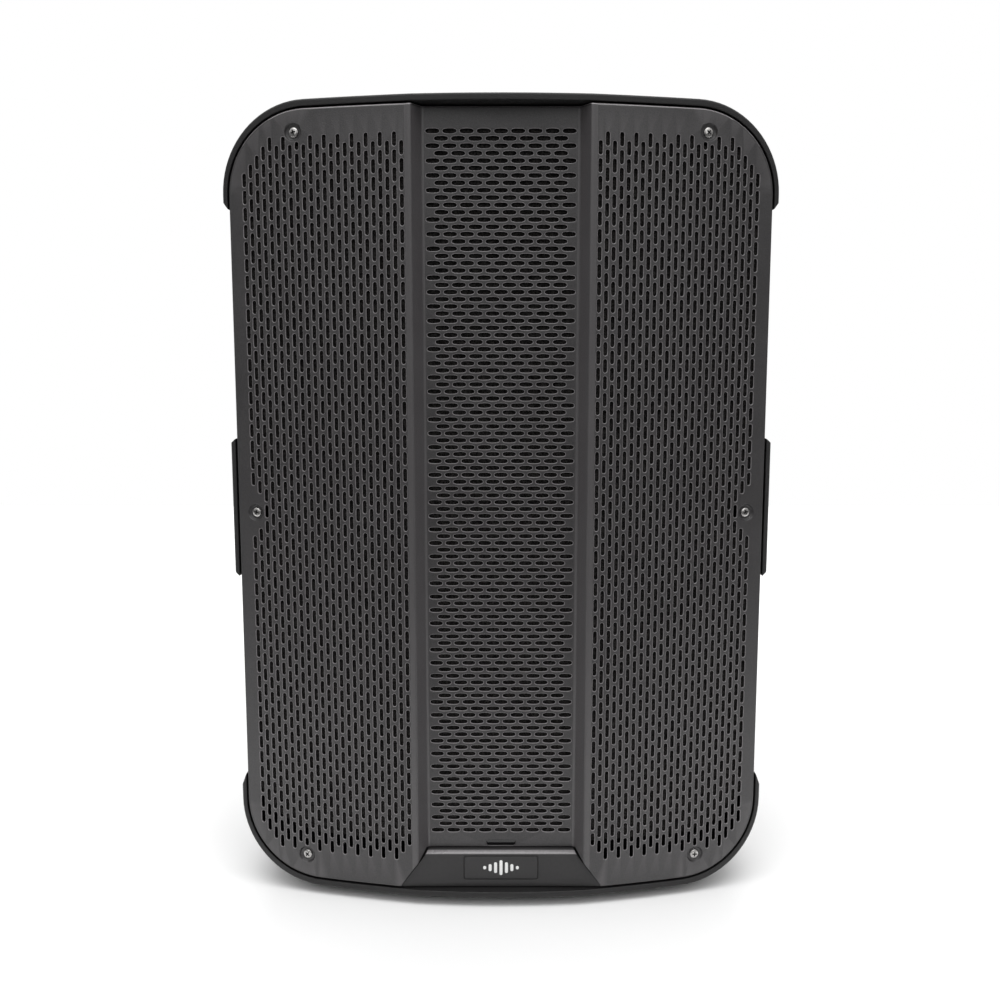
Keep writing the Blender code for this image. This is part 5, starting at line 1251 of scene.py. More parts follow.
def make_grille(looks):
    """Two slotted wings and the slotted channel between them, with their bent edge."""
    loop = sheet_outline(FLANGE_ROUND)
    spots = [screw_spot(node) for node in grille_screw_names()]
    bottom, top = GRILLE_LOW.z - REACH, GRILLE_HIGH.z + REACH
    pieces = {}
    for side, sign in (("left", -1), ("right", 1)):
        screws = [(x, z) for x, z in spots if x * sign > 0]
        folds = [fold for x in crown_lines() for fold in split_fold(sign * x, bottom, top, screws)]
        holes = [slot_steps(c, h, True) for c, h in wing_slots(sign, screws)]
        holes += [dimple_steps(x, z) for x, z in screws]
        pieces[f"grille_wing_{side}"] = (clipped(loop, sign, sign * SPLIT_X), holes, folds)
    holes = [slot_steps(c, h, False) for c, h in channel_slots()]
    holes.append(lens_steps(((LENS_LOW.x + LENS_HIGH.x) / 2, (LENS_LOW.z + LENS_HIGH.z) / 2)))
    folds = [(sign * p.x, bottom, top) for p in SECTION[:-1] for sign in (-1, 1)]
    pieces["grille_channel"] = (clipped(clipped(loop, -1, SPLIT_X), 1, -SPLIT_X), holes, folds)
    for name, (outline, holes, folds) in pieces.items():
        verts, faces, highlight_rims = perforated(outline, holes, folds)
        piece = build(name, verts, faces, looks["grille"], sharp=50.0, recalculate=False)
        # The slots' rims get the lighter material: a painted highlight.
        piece.data.materials.append(looks["grille_edge"])
        for index in highlight_rims:
            piece.data.polygons[index].material_index = 1
        close_sheet(piece)
        show(piece, "grille", "grille")
    make_flange(looks)


def split_fold(x, low, high, screws):
    """A fold line in stretches that stop short of the screw dimples."""
    stretches = []
    for sx, sz in sorted(screws, key=lambda spot: spot[1]):
        reach = DIMPLE_RADIUS * DIMPLE_RIM + 0.0004
        if abs(x - sx) < reach:
            room = math.sqrt(reach**2 - (x - sx) ** 2) + 0.0003
            stretches.append((x, low, sz - room))
            low = sz + room
    return stretches + [(x, low, high)]


def lens_steps(centre):
    """The indicator's slot."""
    width, height = 0.0246, 0.0050
    steps = []
    for grow, depth in ((0.0004, 0.0), (0.0001, 0.0002), (0.0, 0.0005), (0.0, SHEET - 0.0002)):
        outline = rounded((width + 2 * grow, height + 2 * grow), height / 2 + grow - 0.0002, 6)
        steps.append(([(centre[0] + x, centre[1] + z) for x, z in outline], depth))
    return steps


def close_sheet(piece):
    """Walls between the front and back of the sheet along its open outline."""
    shape = bmesh.new()
    shape.from_mesh(piece.data)
    bmesh.ops.remove_doubles(shape, verts=shape.verts, dist=1e-7)
    open_edges = [e for e in shape.edges if e.is_boundary]
    bmesh.ops.bridge_loops(shape, edges=open_edges)
    bmesh.ops.recalc_face_normals(shape, faces=shape.faces)
    shape.to_mesh(piece.data)
    shape.free()
    shade(piece.data, 50.0)
    even_normals(piece)


def even_normals(piece):
    """Lets the broad faces set the shading, so that slot edges don't bleed into them."""
    change = piece.modifiers.new("even", "WEIGHTED_NORMAL")
    change.weight = 100
    change.keep_sharp = True
    graph = bpy.context.evaluated_depsgraph_get()
    piece.data = bpy.data.meshes.new_from_object(piece.evaluated_get(graph))
    piece.modifiers.clear()


def paint_highlight_and_shade(piece, material, chosen):
    """Gives the faces that chosen(centre, normal) picks a second material: a painted highlight on the
    grille's bend and the name plate's ledge, painted shade in the screws' recesses.
    """
    piece.data.materials.append(material)
    for face in piece.data.polygons:
        if chosen(face.center, face.normal):
            face.material_index = 1


def make_flange(looks):
    """The bent edge round the sheet, from one side of the name plate to the other."""
    verts, faces = [], []
    bent_edge(verts, faces, flange_path())
    flange = build("grille_flange", verts, faces, looks["grille"], sharp=50.0)
    # The bend's faces that look up and forward get the lighter material: a painted highlight along the top
    # edge.
    paint_highlight_and_shade(flange, looks["grille_edge"], lambda centre, normal: normal.z > 0.3 and normal.y < -0.2)
    show(flange, "grille", "grille")


# ------------------------------------------------ foam, name plate, indicator


def make_foam(looks):
    """The foam sheet that lines the grille, with a slightly uneven face."""
    low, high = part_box("grille_foam")
    across = [low.x + (high.x - low.x) * k / 96 for k in range(97)]
    across = sorted(set(across) | {s * p.x for p in SECTION for s in (-1, 1)})
    up = [low.z + (high.z - low.z) * k / 130 for k in range(131)]
    radius, thickness = 0.058, 0.0038
    verts, faces = [], []
    for layer in (0, 1):
        for z in up:
            reach = radius - min(z - low.z, high.z - z)
            trim = radius - math.sqrt(max(radius**2 - reach**2, 0)) if reach > 0 else 0
            for x in across:
                half = high.x - trim
                px = x / high.x * half
                crumple = noise.noise(Vector((px, layer, z)) * 160) * 0.0003
                ridge = math.exp(-((abs(px) - RIDGE_X) / 0.004) ** 2) * 0.0012
                depth = SHEET + 0.0008 + thickness * layer + crumple + ridge
                verts.append(at_depth(px, z, depth, 0.0020))
    columns, rows = len(across), len(up)
    layer = columns * rows
    for j in range(rows - 1):
        for i in range(columns - 1):
            a = j * columns + i
            faces.append((a, a + 1, a + columns + 1, a + columns))
            faces.append((layer + a, layer + a + columns, layer + a + columns + 1, layer + a + 1))
    rim = list(range(columns)) + [j * columns + columns - 1 for j in range(1, rows)]
    rim += [(rows - 1) * columns + i for i in reversed(range(columns - 1))]
    rim += [j * columns for j in range(rows - 2, 0, -1)]
    for a, b in zip(rim, rim[1:] + rim[:1]):
        faces.append((a, layer + a, layer + b, b))
    foam = build("grille_foam_liner", verts, faces, looks["foam"])
    spots = [on_wing(*screw_spot(node)) for node in grille_screw_names()]
    carve(foam, *[rod(f"foam_hole_{k}", 0.0105, -0.02, REACH, at=at) for k, at in enumerate(spots)])
    show(foam, "foam", "grille_foam")


def make_name_plate(looks):
    """The trapezoid plate on its pegs, the badge in its pocket and the mark."""
    face_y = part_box("name_plate")[0].y
    thickness, edge = 0.011, 0.0006
    badge = middle_of("badge")
    loops = []

    def outline(grow, drop=0.0):
        low, high = LOW_Z + PLATE_BOTTOM - grow, LOW_Z + PLATE_TOP + grow - drop
        top, foot = plate_edge(high, grow), plate_edge(low, grow)
        corner, blend = 0.0012, 0.3
        shape = []
        for x, z, side in ((top, high, 1), (-top, high, 1), (-foot, low, -1), (foot, low, -1)):
            across, up = math.copysign(corner, -x), -side * corner
            bend = [(x, z + up), (x + across * blend, z + up * blend), (x + across, z)]
            shape += bend if x * side > 0 else bend[::-1]
        return shape

    front, back = -face_y, -face_y - thickness
    loops.append([(x, z, back) for x, z in outline(0)])
    loops.append([(x, z, front - PLATE_LEDGE[1]) for x, z in outline(0)])
    for inset, depth in quarter(edge, 4):
        drop = PLATE_LEDGE[0] * (1 - depth / PLATE_LEDGE[1])
        loops.append([(x, z, front - depth) for x, z in outline(-inset, drop)])
    plate = build("name_plate_moulding", *lofted(loops), looks["trim"], FACING_FRONT)
    at = place((0, 0, badge.z), FACING_FRONT)
    size, floor = (0.0630, 0.0212), front - 0.0012
    carve(plate, block("badge_pocket", size, 0.0028, floor, front + REACH, 0.0001, at=at))
    pegs = [at @ Matrix.Translation((side * 0.045, 0, 0)) for side in (-1, 1)]
    pegs = [rod(f"peg_{k}", 0.003, -BAFFLE_Y + GAP, back + 0.001, at=peg) for k, peg in enumerate(pegs)]
    carve(plate, *pegs, operation="UNION")
    soften(plate, 0.0003, 2, 60.0)
    # The sloped ledge along the plate's top edge gets the lighter material: a painted highlight.
    ledge_low, ledge_back = LOW_Z + PLATE_TOP - 1.6 * PLATE_LEDGE[0], face_y + PLATE_LEDGE[1] + 0.0002
    paint_highlight_and_shade(plate, looks["plate_edge"],
             lambda centre, normal: normal.z > 0.35 and centre.z > ledge_low and centre.y < ledge_back)
    show(plate, "trim", "name_plate")
    low = front - 0.0009
    insert = block("badge_insert", (0.0618, 0.0200), 0.0022, low, low + 0.0007, 0.0002, looks["badge"], at)
    show(insert, "badge", "badge")
    make_mark(looks, at, low + 0.0007)


def make_mark(looks, at, low):
    """A generic sound-level mark: upright bars of different heights."""
    heights = (0.0030, 0.0062, 0.0096, 0.0132, 0.0096, 0.0062, 0.0030)
    pitch, width = 0.0046, 0.0026
    bars = []
    for k, height in enumerate(heights):
        x = (k - (len(heights) - 1) / 2) * pitch
        spot = at @ Matrix.Translation((x, 0, 0))
        radius = width / 2 - 0.0001
        bars.append(block(f"bar_{k}", (width, height), radius, low - 0.00005, low + 0.00025, 0.0001,
                          looks["mark"], spot))
    show(joined("badge_mark", bars), "badge")


def make_indicator(looks):
    """The smoked lens behind the small slot."""
    centre = (LENS_LOW + LENS_HIGH) / 2
    size = (LENS_HIGH.x - LENS_LOW.x, LENS_HIGH.z - LENS_LOW.z)
    at = place((centre.x, 0, centre.z), FACING_FRONT)
    radius = size[1] / 2 - 0.0003
    lens = block("indicator_lens", size, radius, -LENS_HIGH.y, -LENS_LOW.y, 0.0006, looks["lens"], at)
    show(lens, "lens", "indicator_light_bar")


# ------------------------------------------------------------------ handles


def make_handle(node, size, depth, looks, at):
    """A moulded dish with a rounded flange and a swelling grip, and six screws on the side handles."""
    flange_top, edge, lip, wall = 0.003, 0.0012, 0.0020, 0.003
    mouth = [s - 2 * HANDLE_FLANGE for s in size]
    inner = [s - 2 * wall for s in mouth]

    def ring(extent, radius, z):
        return [(x, y, z) for x, y in rounded(extent, radius, 10)]

    def grown(extent, by):
        return [s + 2 * by for s in extent]

    flange_radius, dish_radius = HANDLE_RADIUS + HANDLE_FLANGE, HANDLE_RADIUS - wall
    loops = [ring(mouth, HANDLE_RADIUS, z) for z in (-depth, GAP)] + [ring(size, flange_radius, GAP)]
    for inset, drop in quarter(edge, 4):
        loops.append(ring(grown(size, -inset), flange_radius - inset, flange_top - drop))
    for drop, inset in quarter(lip, 4):
        loops.append(ring(grown(inner, inset), dish_radius + inset, flange_top - drop))
    floor, fillet = -depth + wall, 0.008
    for inset, rise in quarter(fillet, 5):
        loops.append(ring(grown(inner, -inset), dish_radius - inset, floor + rise))
    handle = build(f"{node}_moulding", *lofted(loops), looks["trim"], at)
    carve(handle, make_grip(node, mouth[0] / 2 - 0.001, flange_top, at), operation="UNION")
    show(handle, "trim", node)
    if node == "top_handle":
        return
    half_x, half_y = size[0] / 2 - HANDLE_FLANGE / 2, size[1] / 2 - HANDLE_FLANGE / 2
    spots = [(0.0, half_y), (0.0, -half_y)]
    spots += [(sx * (half_x - 0.028), sy * half_y) for sx in (-1, 1) for sy in (-1, 1)]
    for k, (x, y) in enumerate(spots):
        seat = at @ Matrix.Translation((x, y, flange_top))
        show(pan_screw(f"{node}_screw_{k}", looks["black_screw"], seat, 0.0030, 0.0013), "screw")


def make_grip(node, half, top, at):
    """A rounded bar that thickens to its ends, with shallow finger waves beneath."""
    width, thick = 0.024, 0.016
    loops = []
    count = 28
    for k in range(41):
        t = -1 + k / 20
        swell = 1 + 0.10 * abs(t) ** 6
        wave = 0.0008 * math.cos(t * math.pi * 4) * (abs(t) < 0.8)
        loop = []
        for j in range(count):
            angle = math.tau * j / count
            c, s = math.cos(angle), math.sin(angle)
            y = width / 2 * swell * math.copysign(abs(c) ** 0.7, c)
            z = thick / 2 * math.copysign(abs(s) ** 0.8, s)
            z = z - (wave if s < 0 else 0)
            loop.append((t * half, y, top - thick / 2 + min(z, thick / 2)))
        loops.append(loop)
    return build(f"{node}_grip", *lofted(loops), at=at)


def make_handles(looks):
    for side, sign in (("left", -1), ("right", 1)):
        make_handle(f"side_handle_{side}", *SIDE_HANDLE, looks, side_handle_frame(sign))
    make_handle("top_handle", *TOP_HANDLE, looks, place((0, TOP_HANDLE_Y, TOP_FACE_Z)))


# ---------------------------------------------------------- base and rigging


def make_base(looks):
    """The pole cup, the four feet and the cup's screws."""
    low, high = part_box("pole_cup")
    bore, cup, flange, top = 0.0180, 0.0215, 0.0400, high.z
    profile = [(0, top), (cup - 0.0015, top), (cup, top - 0.0015), (cup, BOTTOM_FACE_Z - GAP)]
    profile += [(flange, BOTTOM_FACE_Z - GAP), (flange, low.z + 0.0010), (flange - 0.0010, low.z)]
    profile += [(bore + 0.0060, low.z), (bore + 0.0050, low.z + 0.0006), (bore + 0.0015, low.z + 0.0006)]
    profile += [(bore + 0.0002, low.z + 0.0020), (bore, low.z + 0.0040), (bore, top - 0.0035)]
    profile.append((0, top - 0.0035))
    show(turned("pole_cup_moulding", profile, looks["trim"], count=72), "trim", "pole_cup")
    for row in ("front", "rear"):
        for side in ("left", "right"):
            node = f"foot_{row}_{side}"
            foot_low, foot_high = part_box(node)
            centre = (foot_low + foot_high) / 2
            make_foot(node, place((centre.x, centre.y, 0)), foot_high.z, looks["rubber"])
    for k in range(4):
        angle = math.pi / 4 + math.pi / 2 * k
        seat = place((0.031 * math.cos(angle), 0.031 * math.sin(angle), low.z), FACING_DOWN)
        show(pan_screw(f"pole_cup_screw_{k}", looks["black_screw"], seat, 0.0030, 0.0012), "screw")


def make_foot(node, at, top, material):
    """A ribbed rubber foot."""
    radius = 0.016
    profile = [(0, top), (radius, top), (radius, top - 0.002), (radius - 0.0006, top - 0.0026)]
    profile += [(radius - 0.0014, 0.0012), (radius - 0.0026, 0), (radius - 0.0050, 0)]
    profile.append((radius - 0.0056, 0.0006))
    profile += [(radius - 0.0066, 0.0006), (radius - 0.0072, 0), (0.0052, 0), (0.0046, 0.0020), (0, 0.0020)]
    show(turned(f"{node}_rubber", profile, material, at, 48), "rubber", node)


def make_insert(node, look, at):
    """A steel bushing with a chamfered mouth and visible threads."""
    radius, bore, length, top = 0.010, 0.0051, 0.025, -0.0005
    profile = [(0, -length), (radius, -length), (radius, -0.0083), (0.015, -0.0083), (0.015, -0.0053)]
    profile += [(radius, -0.0053), (radius, top - 0.0005), (radius - 0.0005, top), (bore + 0.0009, top)]
    pitch = 0.0015
    turns = 12
    profile.append((bore, top - 0.0010))
    for k in range(turns):
        z = top - 0.0012 - pitch * k
        profile += [(bore, z - pitch * 0.2), (bore + 0.0007, z - pitch * 0.5), (bore, z - pitch * 0.8)]
    profile += [(bore, -length + WALL), (0, -length + WALL)]
    show(turned(f"{node}_bushing", profile, look, at, 48), "steel", node)


def make_inserts(looks):
    """Two rigging inserts on top and one at the back."""
    for node, x in INSERT_SPOTS:
        make_insert(node, looks["steel"], place((x, TOP_HANDLE_Y, TOP_FACE_Z)))
    make_insert("rigging_insert_rear", looks["steel"], place((0, BACK_Y, REAR_INSERT_Z), FACING_BACK))


# ---------------------------------------------------------- amplifier panel


def panel_frame(x, rise):
    """On the panel's outer face, x to the right as seen from behind, own Z out of the back."""
    return place((-x, PANEL_Y, PANEL_Z + rise), FACING_BACK)


def frame_of(node):
    """In front of a node's middle, on the panel's outer face."""
    centre = middle_of(node)
    return place((centre.x, PANEL_Y, centre.z), FACING_BACK)


def span_of(node):
    """A node's width and height, and where its foot and face stand off the panel."""
    low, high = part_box(node)
    return (high.x - low.x, high.z - low.z), low.y - PANEL_Y, high.y - PANEL_Y


def body_of(node):
    """The body that a CAD node rides on."""
    return NODES[node]["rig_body"]


KNOBS = ("gain_knob_1", "gain_knob_2", "treble_knob", "bass_knob")
BUTTONS = ("mic_line_button_1", "mic_line_button_2")
SOCKETS = ("combo_input_1", "combo_input_2", "link_output")


def make_panel(looks):
    """The amplifier's plate, its screws and its printing."""
    size = (PLATE_HIGH.x - PLATE_LOW.x, PLATE_HIGH.z - PLATE_LOW.z)
    thickness = PLATE_HIGH.y - PLATE_LOW.y
    plate = block("amp_plate_sheet", size, 0.007, -thickness, 0, 0.0004, looks["panel"], panel_frame(0, 0))
    through = (-thickness - REACH, REACH)
    tools = [rod(f"cut_{n}", 0.0038, *through, at=frame_of(n), count=24) for n in KNOBS]
    tools += [rod(f"cut_{n}", 0.0043, *through, at=frame_of(n), count=24) for n in BUTTONS]
    tools += [rod(f"cut_{n}", 0.0122, *through, at=frame_of(n), count=40) for n in SOCKETS]
    mouth = rounded((0.0592, 0.0392), 0.0005, 2)
    tools.append(prism("cut_inlet", mouth, *through, at=frame_of("mains_inlet")))
    carve(plate, *tools)
    show(plate, "panel", "amp_plate")
    half_x, half_z = size[0] / 2 - 0.006, size[1] / 2 - 0.006
    spots = [(sx * half_x, share * half_z) for sx in (-1, 1) for share in (-1, -0.5, 0, 0.5, 1)]
    spots += [(0, half_z), (0, -half_z)]
    for k, (x, rise) in enumerate(spots):
        seat = panel_frame(x, rise)
        show(pan_screw(f"panel_screw_{k}", looks["black_screw"], seat, 0.0034, 0.0018), "screw")
    make_printing(looks)


def make_printing(looks):
    """Printed dial ticks, section frames and status lights, with no lettering."""
    ink, parts = looks["ink"], []
    thin = 0.00008
    for node in KNOBS:
        for k in range(11):
            angle = math.radians(90 + 150 - 30 * k)
            at = frame_of(node) @ Matrix.Rotation(angle, 4, "Z") @ Matrix.Translation((0.0122, 0, 0))
            length = 0.0026 if k in (0, 5, 10) else 0.0016
            parts.append(block(f"tick_{node}_{k}", (length, 0.0004), 0.0001, 0, thin, 0.00002, ink, at))
    width, height, line = 0.088, 0.044, 0.0005
    for k, x in enumerate((-0.05, 0.05)):
        for sx, sy in ((0, 1), (0, -1), (1, 0), (-1, 0)):
            size = (line, height) if sx else (width, line)
            at = panel_frame(x + sx * width / 2, -0.030 + sy * height / 2)
            parts.append(block(f"rule_{k}_{sx}_{sy}", size, 0.0001, 0, thin, 0.00002, ink, at))
    show(joined("panel_printing", parts), "panel")
    for k, x in enumerate((0.030, 0.050, 0.070)):
        at = panel_frame(x, -0.060)
        profile = [(0, 0.0022), (0.0012, 0.0019), (0.0016, 0.0010), (0.0016, 0.0002), (0.0026, 0.0002)]
        profile += [(0.0026, 0), (0, 0)]
        show(turned(f"status_light_{k}", profile, looks["lens"], at, 24), "lens")


def make_heatsink(looks):
    """A finned extrusion with rounded tips and roots."""
    low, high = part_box("heatsink")
    width, deep, height = high - low
    base, fins = 0.004, 17
    pitch = width / fins
    fin, root = pitch * 0.30, 0.0010
    tip = fin / 2
    outline = [(-width / 2, 0), (width / 2, 0)]
    for k in reversed(range(fins)):
        centre = -width / 2 + pitch * (k + 0.5)
        if k == fins - 1:
            centre = width / 2 - tip
        if k == 0:
            centre = -width / 2 + tip
        right, left = centre + tip, centre - tip
        if k < fins - 1:
            outline += [(right + root, base), (right + root * 0.3, base + root * 0.3), (right, base + root)]
        arc = [math.pi * j / 6 for j in range(7)]
        outline += [(centre + tip * 0.86 * math.cos(a), deep - tip + tip * math.sin(a)) for a in arc]
        if k > 0:
            outline += [(left, base + root), (left - root * 0.3, base + root * 0.3), (left - root, base)]
    at = place(((low.x + high.x) / 2, low.y, (low.z + high.z) / 2))
    sink = prism("heatsink_extrusion", outline, -height / 2, height / 2, looks["aluminium"], at)
    show(sink, "aluminium", "heatsink")


def make_gasket(looks):
    """The foam seal under the panel's edge."""
    low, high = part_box("amp_gasket")
    size = (high.x - low.x, high.z - low.z)
    at = place((0, low.y, PANEL_Z), FACING_BACK)
    deep = high.y - low.y
    gasket = block("amp_gasket_foam", size, 0.007, 0, deep, 0.0003, looks["foam"], at, both=True)
    window = [s - PANEL_WINDOW_IN for s in size]
    carve(gasket, prism("gasket_window", rounded(window, 0.008), -REACH, REACH, at=at))
    show(gasket, "foam", "amp_gasket")


def make_knobs(looks):
    """Fluted knobs, each with a white pointer line."""
    for node in KNOBS:
        _, base, _ = span_of(node)
        body = body_of(node)
        radius, top = 0.0085, base + 0.013

        def flute(r, height, angle):
            on_side = base + 0.0042 < height < top - 0.0008
            return r - (0.00045 * (0.5 + 0.5 * math.cos(18 * angle)) if on_side else 0)

        bore = 0.0033
        profile = [(0, base + 0.009), (bore, base + 0.009), (bore, base), (radius - 0.0004, base)]
        profile += [(radius, base + 0.0004), (radius, base + 0.0028), (radius - 0.0004, base + 0.0034)]
        profile += [(radius * 0.86, base + 0.0040), (radius * 0.85, base + 0.0046)]
        profile += [(radius * 0.78, top - 0.0016), (radius * 0.76, top - 0.0007)]
        profile += [(radius * 0.70, top - 0.0001), (radius * 0.66, top), (0, top)]
        knob = turned(f"{node}_cap", profile, looks["knob"], frame_of(node), 144, flute)
        show(knob, "knob", node, body=body)
        at = frame_of(node) @ Matrix.Translation((0, radius * 0.36, 0))
        name, size = f"{node}_pointer_line", (0.0012, radius * 0.60)
        line = block(name, size, 0.0005, top - 0.0003, top + 0.0003, 0.0001, looks["mark"], at)
        show(line, "knob", body=body)


def make_buttons(looks):
    """The two push buttons and the sockets' latch tabs."""
    for node in BUTTONS:
        _, foot, top = span_of(node)
        radius = 0.0038
        profile = [(0, foot), (radius, foot), (radius, top - 0.0007), (radius - 0.0002, top - 0.0002)]
        profile += [(radius - 0.0008, top), (radius * 0.55, top - 0.0002), (0, top - 0.0004)]
        cap = turned(f"{node}_cap", profile, looks["button"], frame_of(node), 40)
        show(cap, "button", node, body=body_of(node))
    for node in ("latch_tab_1", "latch_tab_2"):
        size, foot, top = span_of(node)
        tab = block(f"{node}_cap", size, 0.0004, foot, top, 0.0004, looks["button"], frame_of(node))
        show(tab, "button", node, body=body_of(node))


def three_round(at, radius):
    """Frames at the left, the bottom and the right of a circle."""
    turns = [math.pi / 2 * k + math.pi for k in range(3)]
    return [at @ Matrix.Translation((radius * math.cos(a), radius * math.sin(a), 0)) for a in turns]


def make_sockets(looks):
    """Two combination inputs with a jack in the middle, and a link output with three pins."""
    flange, floor = 0.0025, -0.0155
    for node in SOCKETS:
        at = frame_of(node)
        bore = 0.0101 if node == "link_output" else 0.0096
        top = GAP + flange
        socket = block(f"{node}_housing", (0.026, 0.031), 0.002, GAP, top, 0.0006, looks["socket"], at)
        carve(socket, rod("body", 0.0116, -0.024, GAP + 0.001, at=at, count=64), operation="UNION")
        mouth = bore + 0.0007
        profile = [(0, floor), (bore, floor), (bore, top - 0.0006), (mouth, top + 0.0001)]
        tools = [turned("recess", profile + [(mouth, REACH), (0, REACH)], at=at)]
        if node != "link_output":
            tools.append(rod("jack", 0.0033, floor - 0.005, 0, at=at, count=32))
            latch = at @ Matrix.Translation((0, 0.0129, 0))
            tools.append(prism("latch", rounded((0.0086, 0.0032), 0.0003, 2), 0.0006, REACH, at=latch))
            for k, spot in enumerate(three_round(at, 0.0062)):
                tools.append(rod(f"contact_{k}", 0.0013, floor - 0.004, 0, at=spot, count=20))
        carve(socket, *tools)
        show(socket, "socket", node)
        if node == "link_output":
            for k, spot in enumerate(three_round(at, 0.0055)):
                profile = [(0, floor + 0.011), (0.0007, floor + 0.0108), (0.0012, floor + 0.0100),
                           (0.0012, floor - 0.001), (0, floor - 0.001)]
                show(turned(f"link_pin_{k}", profile, looks["contact"], spot, 24), "socket")
        else:
            ring = [(0.0033, floor + 0.0002), (0.0042, floor + 0.0002), (0.0042, floor), (0.0033, floor)]
            show(turned(f"{node}_jack_ring", ring, looks["steel"], at, 40), "socket")
        for k, (sx, sy) in enumerate(((-1, 1), (1, -1))):
            seat = at @ Matrix.Translation((sx * 0.0100, sy * 0.0127, top))
            show(pan_screw(f"{node}_screw_{k}", looks["screw"], seat, 0.0019, 0.0010, shank=0.006), "screw")


def make_inlet(looks):
    """The mains inlet, with its blades, fuse drawer, screws and rocker."""
    at = frame_of("mains_inlet")
    flange = 0.0025
    top, cavity_floor = GAP + flange, flange - 0.017
    cavity_x, rocker_x = 0.0085, -0.0200
    inlet = block("mains_inlet_housing", (0.064, 0.044), 0.003, GAP, top, 0.0007, looks["socket"], at)
    body = prism("body", rounded((0.058, 0.038), 0.001, 2), -0.030, GAP + 0.001, at=at)
    carve(inlet, body, operation="UNION")
    cavity = at @ Matrix.Translation((cavity_x, 0.0055, 0))
    fuse = at @ Matrix.Translation((cavity_x, -0.0125, 0))
    rocker = at @ Matrix.Translation((rocker_x, 0, 0))
    tools = [prism("cavity", rounded((0.0270, 0.0185), 0.003, 5), cavity_floor, REACH, at=cavity)]
    tools.append(prism("fuse_slot", rounded((0.0250, 0.0076), 0.0003, 2), flange - 0.026, REACH, at=fuse))
    tools.append(prism("rocker_slot", rounded((0.0137, 0.0228), 0.0003, 2), flange - 0.014, REACH, at=rocker))
    carve(inlet, *tools)
    soften(inlet, 0.00035, 2, 60.0)
    show(inlet, "socket", "mains_inlet")
    foot, tip = cavity_floor - 0.001, cavity_floor + 0.013
    for k, rise in enumerate((0.0017, -0.0017, 0.0017)):
        at_blade = cavity @ Matrix.Translation((0.0068 * (k - 1), rise, 0))
        name = f"inlet_blade_{k}"
        blade = block(name, (0.0020, 0.0045), 0.0003, foot, tip, 0.0006, looks["steel"], at_blade)
        show(blade, "socket")
    size, foot, face = span_of("fuse_drawer")
    drawer_at = frame_of("fuse_drawer")
    drawer = block("fuse_drawer_front", size, 0.0006, foot, face, 0.0005, looks["socket"], drawer_at)
    notch = drawer_at @ Matrix.Translation((0, size[1] / 2, face))
    carve(drawer, rod("notch", 0.0030, -0.0012, REACH, at=notch, count=24))
    show(drawer, "socket", "fuse_drawer", body=body_of("fuse_drawer"))
    for k, (x, y) in enumerate(((-0.0095, 0.0185), (0.0280, -0.0190))):
        seat = at @ Matrix.Translation((x, y, top))
        show(pan_screw(f"inlet_screw_{k}", looks["screw"], seat, 0.0021, 0.0011, shank=0.006), "screw")
    make_rocker(looks, rocker @ Matrix.Translation((0, 0, flange - 0.003)))


def make_rocker(looks, pivot):
    """The rocker at rest in its off position, with a curved top and plain moulded marks."""
    tilt, half, wide = math.radians(8.0), 0.0104, 0.00635
    outline = [(-half * 0.9, -0.003), (half * 0.9, -0.003)]
    for k in range(13):
        t = 1 - k / 6
        outline.append((half * t, 0.0035 + 0.0015 * abs(t) ** 1.5))
    turn = basis((0, 1, 0), (0, 0, 1), (1, 0, 0))
    at = pivot @ Matrix.Rotation(tilt, 4, "X") @ turn
    rocker = prism("power_rocker_cap", outline, -wide, wide, looks["rocker"], at)
    soften(rocker, 0.0004, 3, 50.0)
    body = body_of("power_rocker")
    show(rocker, "rocker", "power_rocker", body=body)
    tilted = pivot @ Matrix.Rotation(tilt, 4, "X")
    slope = math.atan(0.0015 * 1.5 / half * 0.74)
    for k, sign in enumerate((1, -1)):
        spot = tilted @ Matrix.Translation((0, sign * half * 0.55, 0.0035 + 0.0015 * 0.55**1.5))
        spot = spot @ Matrix.Rotation(sign * slope, 4, "X")
        if sign > 0:
            profile = [(0.0012, -0.0002), (0.0017, -0.0002), (0.0017, 0.00015), (0.0012, 0.00015)]
            mark = turned("rocker_ring_mark", profile, looks["mark"], spot, 32)
        else:
            size = (0.0005, 0.0034)
            mark = block("rocker_bar_mark", size, 0.0002, -0.0002, 0.00015, 0.00005, looks["mark"], spot)
        show(mark, "rocker", body=body)


# -------------------------------------------------- inner pieces, floor, light


def finish_inner_nodes(looks):
    """The pieces inside keep their CAD shape and get their slot's material."""
    slots = {row["node"]: row["material_slot"] for row in frame["record"]["subparts"]}
    for node, piece in NODES.items():
        if not piece.hide_render:
            piece.data.materials.clear()
            piece.data.materials.append(looks[slots[node]])
            shade(piece.data, 40.0)


def stage_material():
    made = Nodes("floor_white")
    patch = made.noise(3.0, 2.0)
    colour = made.mix(made.spread(patch, 0.0, 1.0), (0.86, 0.86, 0.86), (0.88, 0.88, 0.88))
    made.link(colour, made.shader.inputs["Base Color"])
    made.shader.inputs["Roughness"].default_value = 0.9
    made.shader.inputs["Specular IOR Level"].default_value = 0.1
    return made.material


def make_stage():
    corners = [(-2.2, -0.6, 0), (2.2, -0.6, 0), (2.2, 2.2, 0), (-2.2, 2.2, 0)]
    floor = build("floor", corners, [(0, 1, 2, 3)], stage_material(), recalculate=False)


def area_light(name, size, power, spot, aim):
    light = bpy.data.lights.new(name, "AREA")
    light.shape = "RECTANGLE"
    light.size, light.size_y = size
    light.energy = power
    lamp = bpy.data.objects.new(name, light)
    bpy.context.scene.collection.objects.link(lamp)
    lamp.location = spot
    lamp.rotation_euler = (Vector(aim) - Vector(spot)).to_track_quat("-Z", "Y").to_euler()


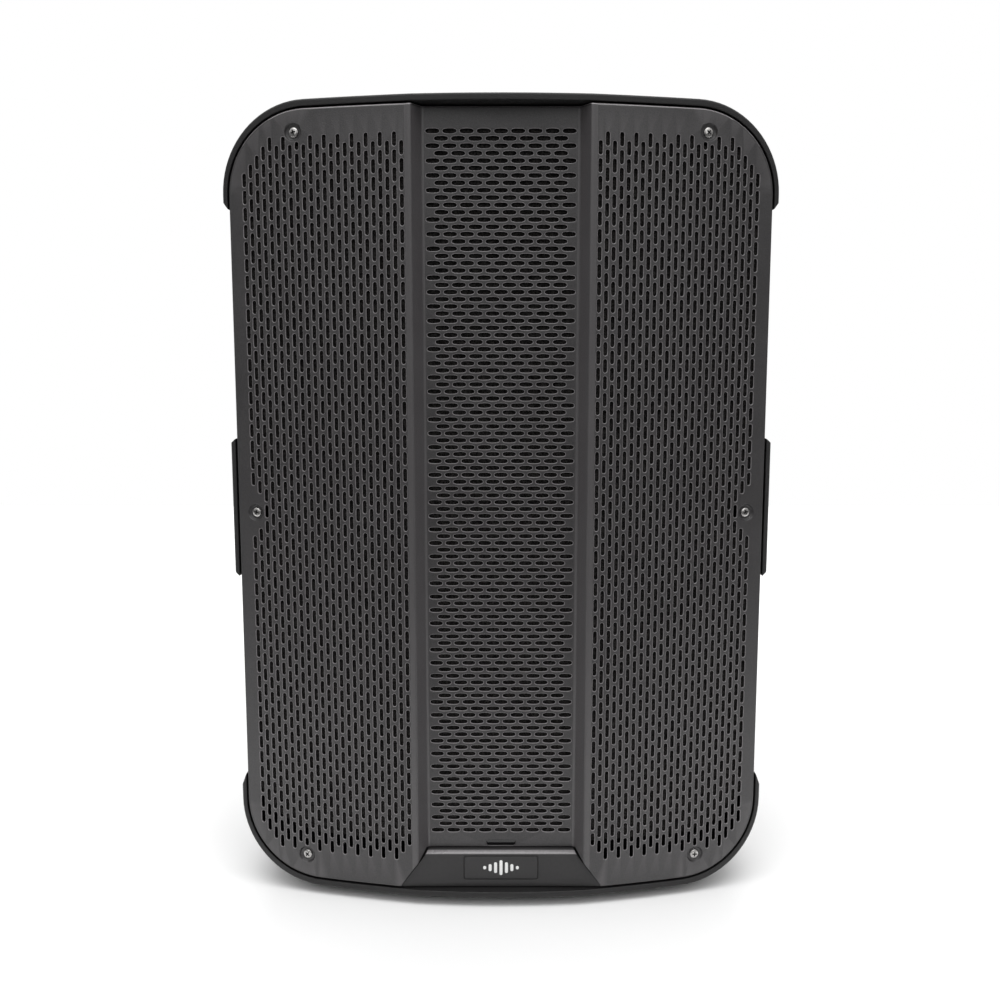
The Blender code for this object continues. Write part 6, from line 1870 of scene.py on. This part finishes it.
def make_lights():
    """White to the camera, and a sky that is dim at the horizon for everything else."""
    world = bpy.data.worlds.new("studio")
    world.use_nodes = True
    bpy.context.scene.world = world
    tree = world.node_tree
    background = tree.nodes["Background"]
    path = tree.nodes.new("ShaderNodeLightPath")
    coordinates = tree.nodes.new("ShaderNodeTexCoord")
    split = tree.nodes.new("ShaderNodeSeparateXYZ")
    height = tree.nodes.new("ShaderNodeMapRange")
    for key, value in (("From Min", 0.0), ("From Max", 0.75), ("To Min", 0.16), ("To Max", 1.10)):
        height.inputs[key].default_value = value
    seen = tree.nodes.new("ShaderNodeMix")
    seen.data_type = "FLOAT"
    seen.inputs[3].default_value = 1.0
    tree.links.new(coordinates.outputs["Generated"], split.inputs["Vector"])
    tree.links.new(split.outputs["Z"], height.inputs["Value"])
    tree.links.new(path.outputs["Is Camera Ray"], seen.inputs[0])
    tree.links.new(height.outputs["Result"], seen.inputs[2])
    tree.links.new(seen.outputs[0], background.inputs["Strength"])
    background.inputs["Color"].default_value = (1, 1, 1, 1)
    area_light("top_box", (2.4, 1.6), 34, (0.0, -0.7, 2.5), (0, 0, 0.35))
    area_light("left_box", (0.5, 1.4), 3.5, (-0.9, -2.2, 1.3), (0, 0, 0.25))
    area_light("right_box", (0.5, 1.4), 4.0, (0.9, -2.2, 1.3), (0, 0, 0.25))
    area_light("back_box", (3.0, 1.4), 40, (0.0, 2.2, 2.2), (0, 1.0, 0.0))


def make_camera():
    data = bpy.data.cameras.new("camera")
    data.sensor_width = 36.0
    data.lens = 39.6
    data.shift_x = -0.001
    camera = bpy.data.objects.new("camera", data)
    bpy.context.scene.collection.objects.link(camera)
    camera.location = (0, RIDGE_Y - 0.875, 0.466)
    camera.rotation_euler = (math.radians(90 - 7.81), 0, 0)
    bpy.context.scene.camera = camera


def set_colours():
    scene = bpy.context.scene
    scene.view_settings.view_transform = "Standard"
    scene.view_settings.look = "None"


looks = make_looks()
make_camera()
make_stage()
make_lights()
set_colours()
make_front_shell(looks)
make_rear_shell(looks)
make_grille(looks)
make_foam(looks)
make_name_plate(looks)
make_indicator(looks)
make_grille_screws(looks)
make_handles(looks)
make_base(looks)
make_inserts(looks)
make_panel(looks)
make_heatsink(looks)
make_gasket(looks)
make_knobs(looks)
make_buttons(looks)
make_sockets(looks)
make_inlet(looks)
finish_inner_nodes(looks)
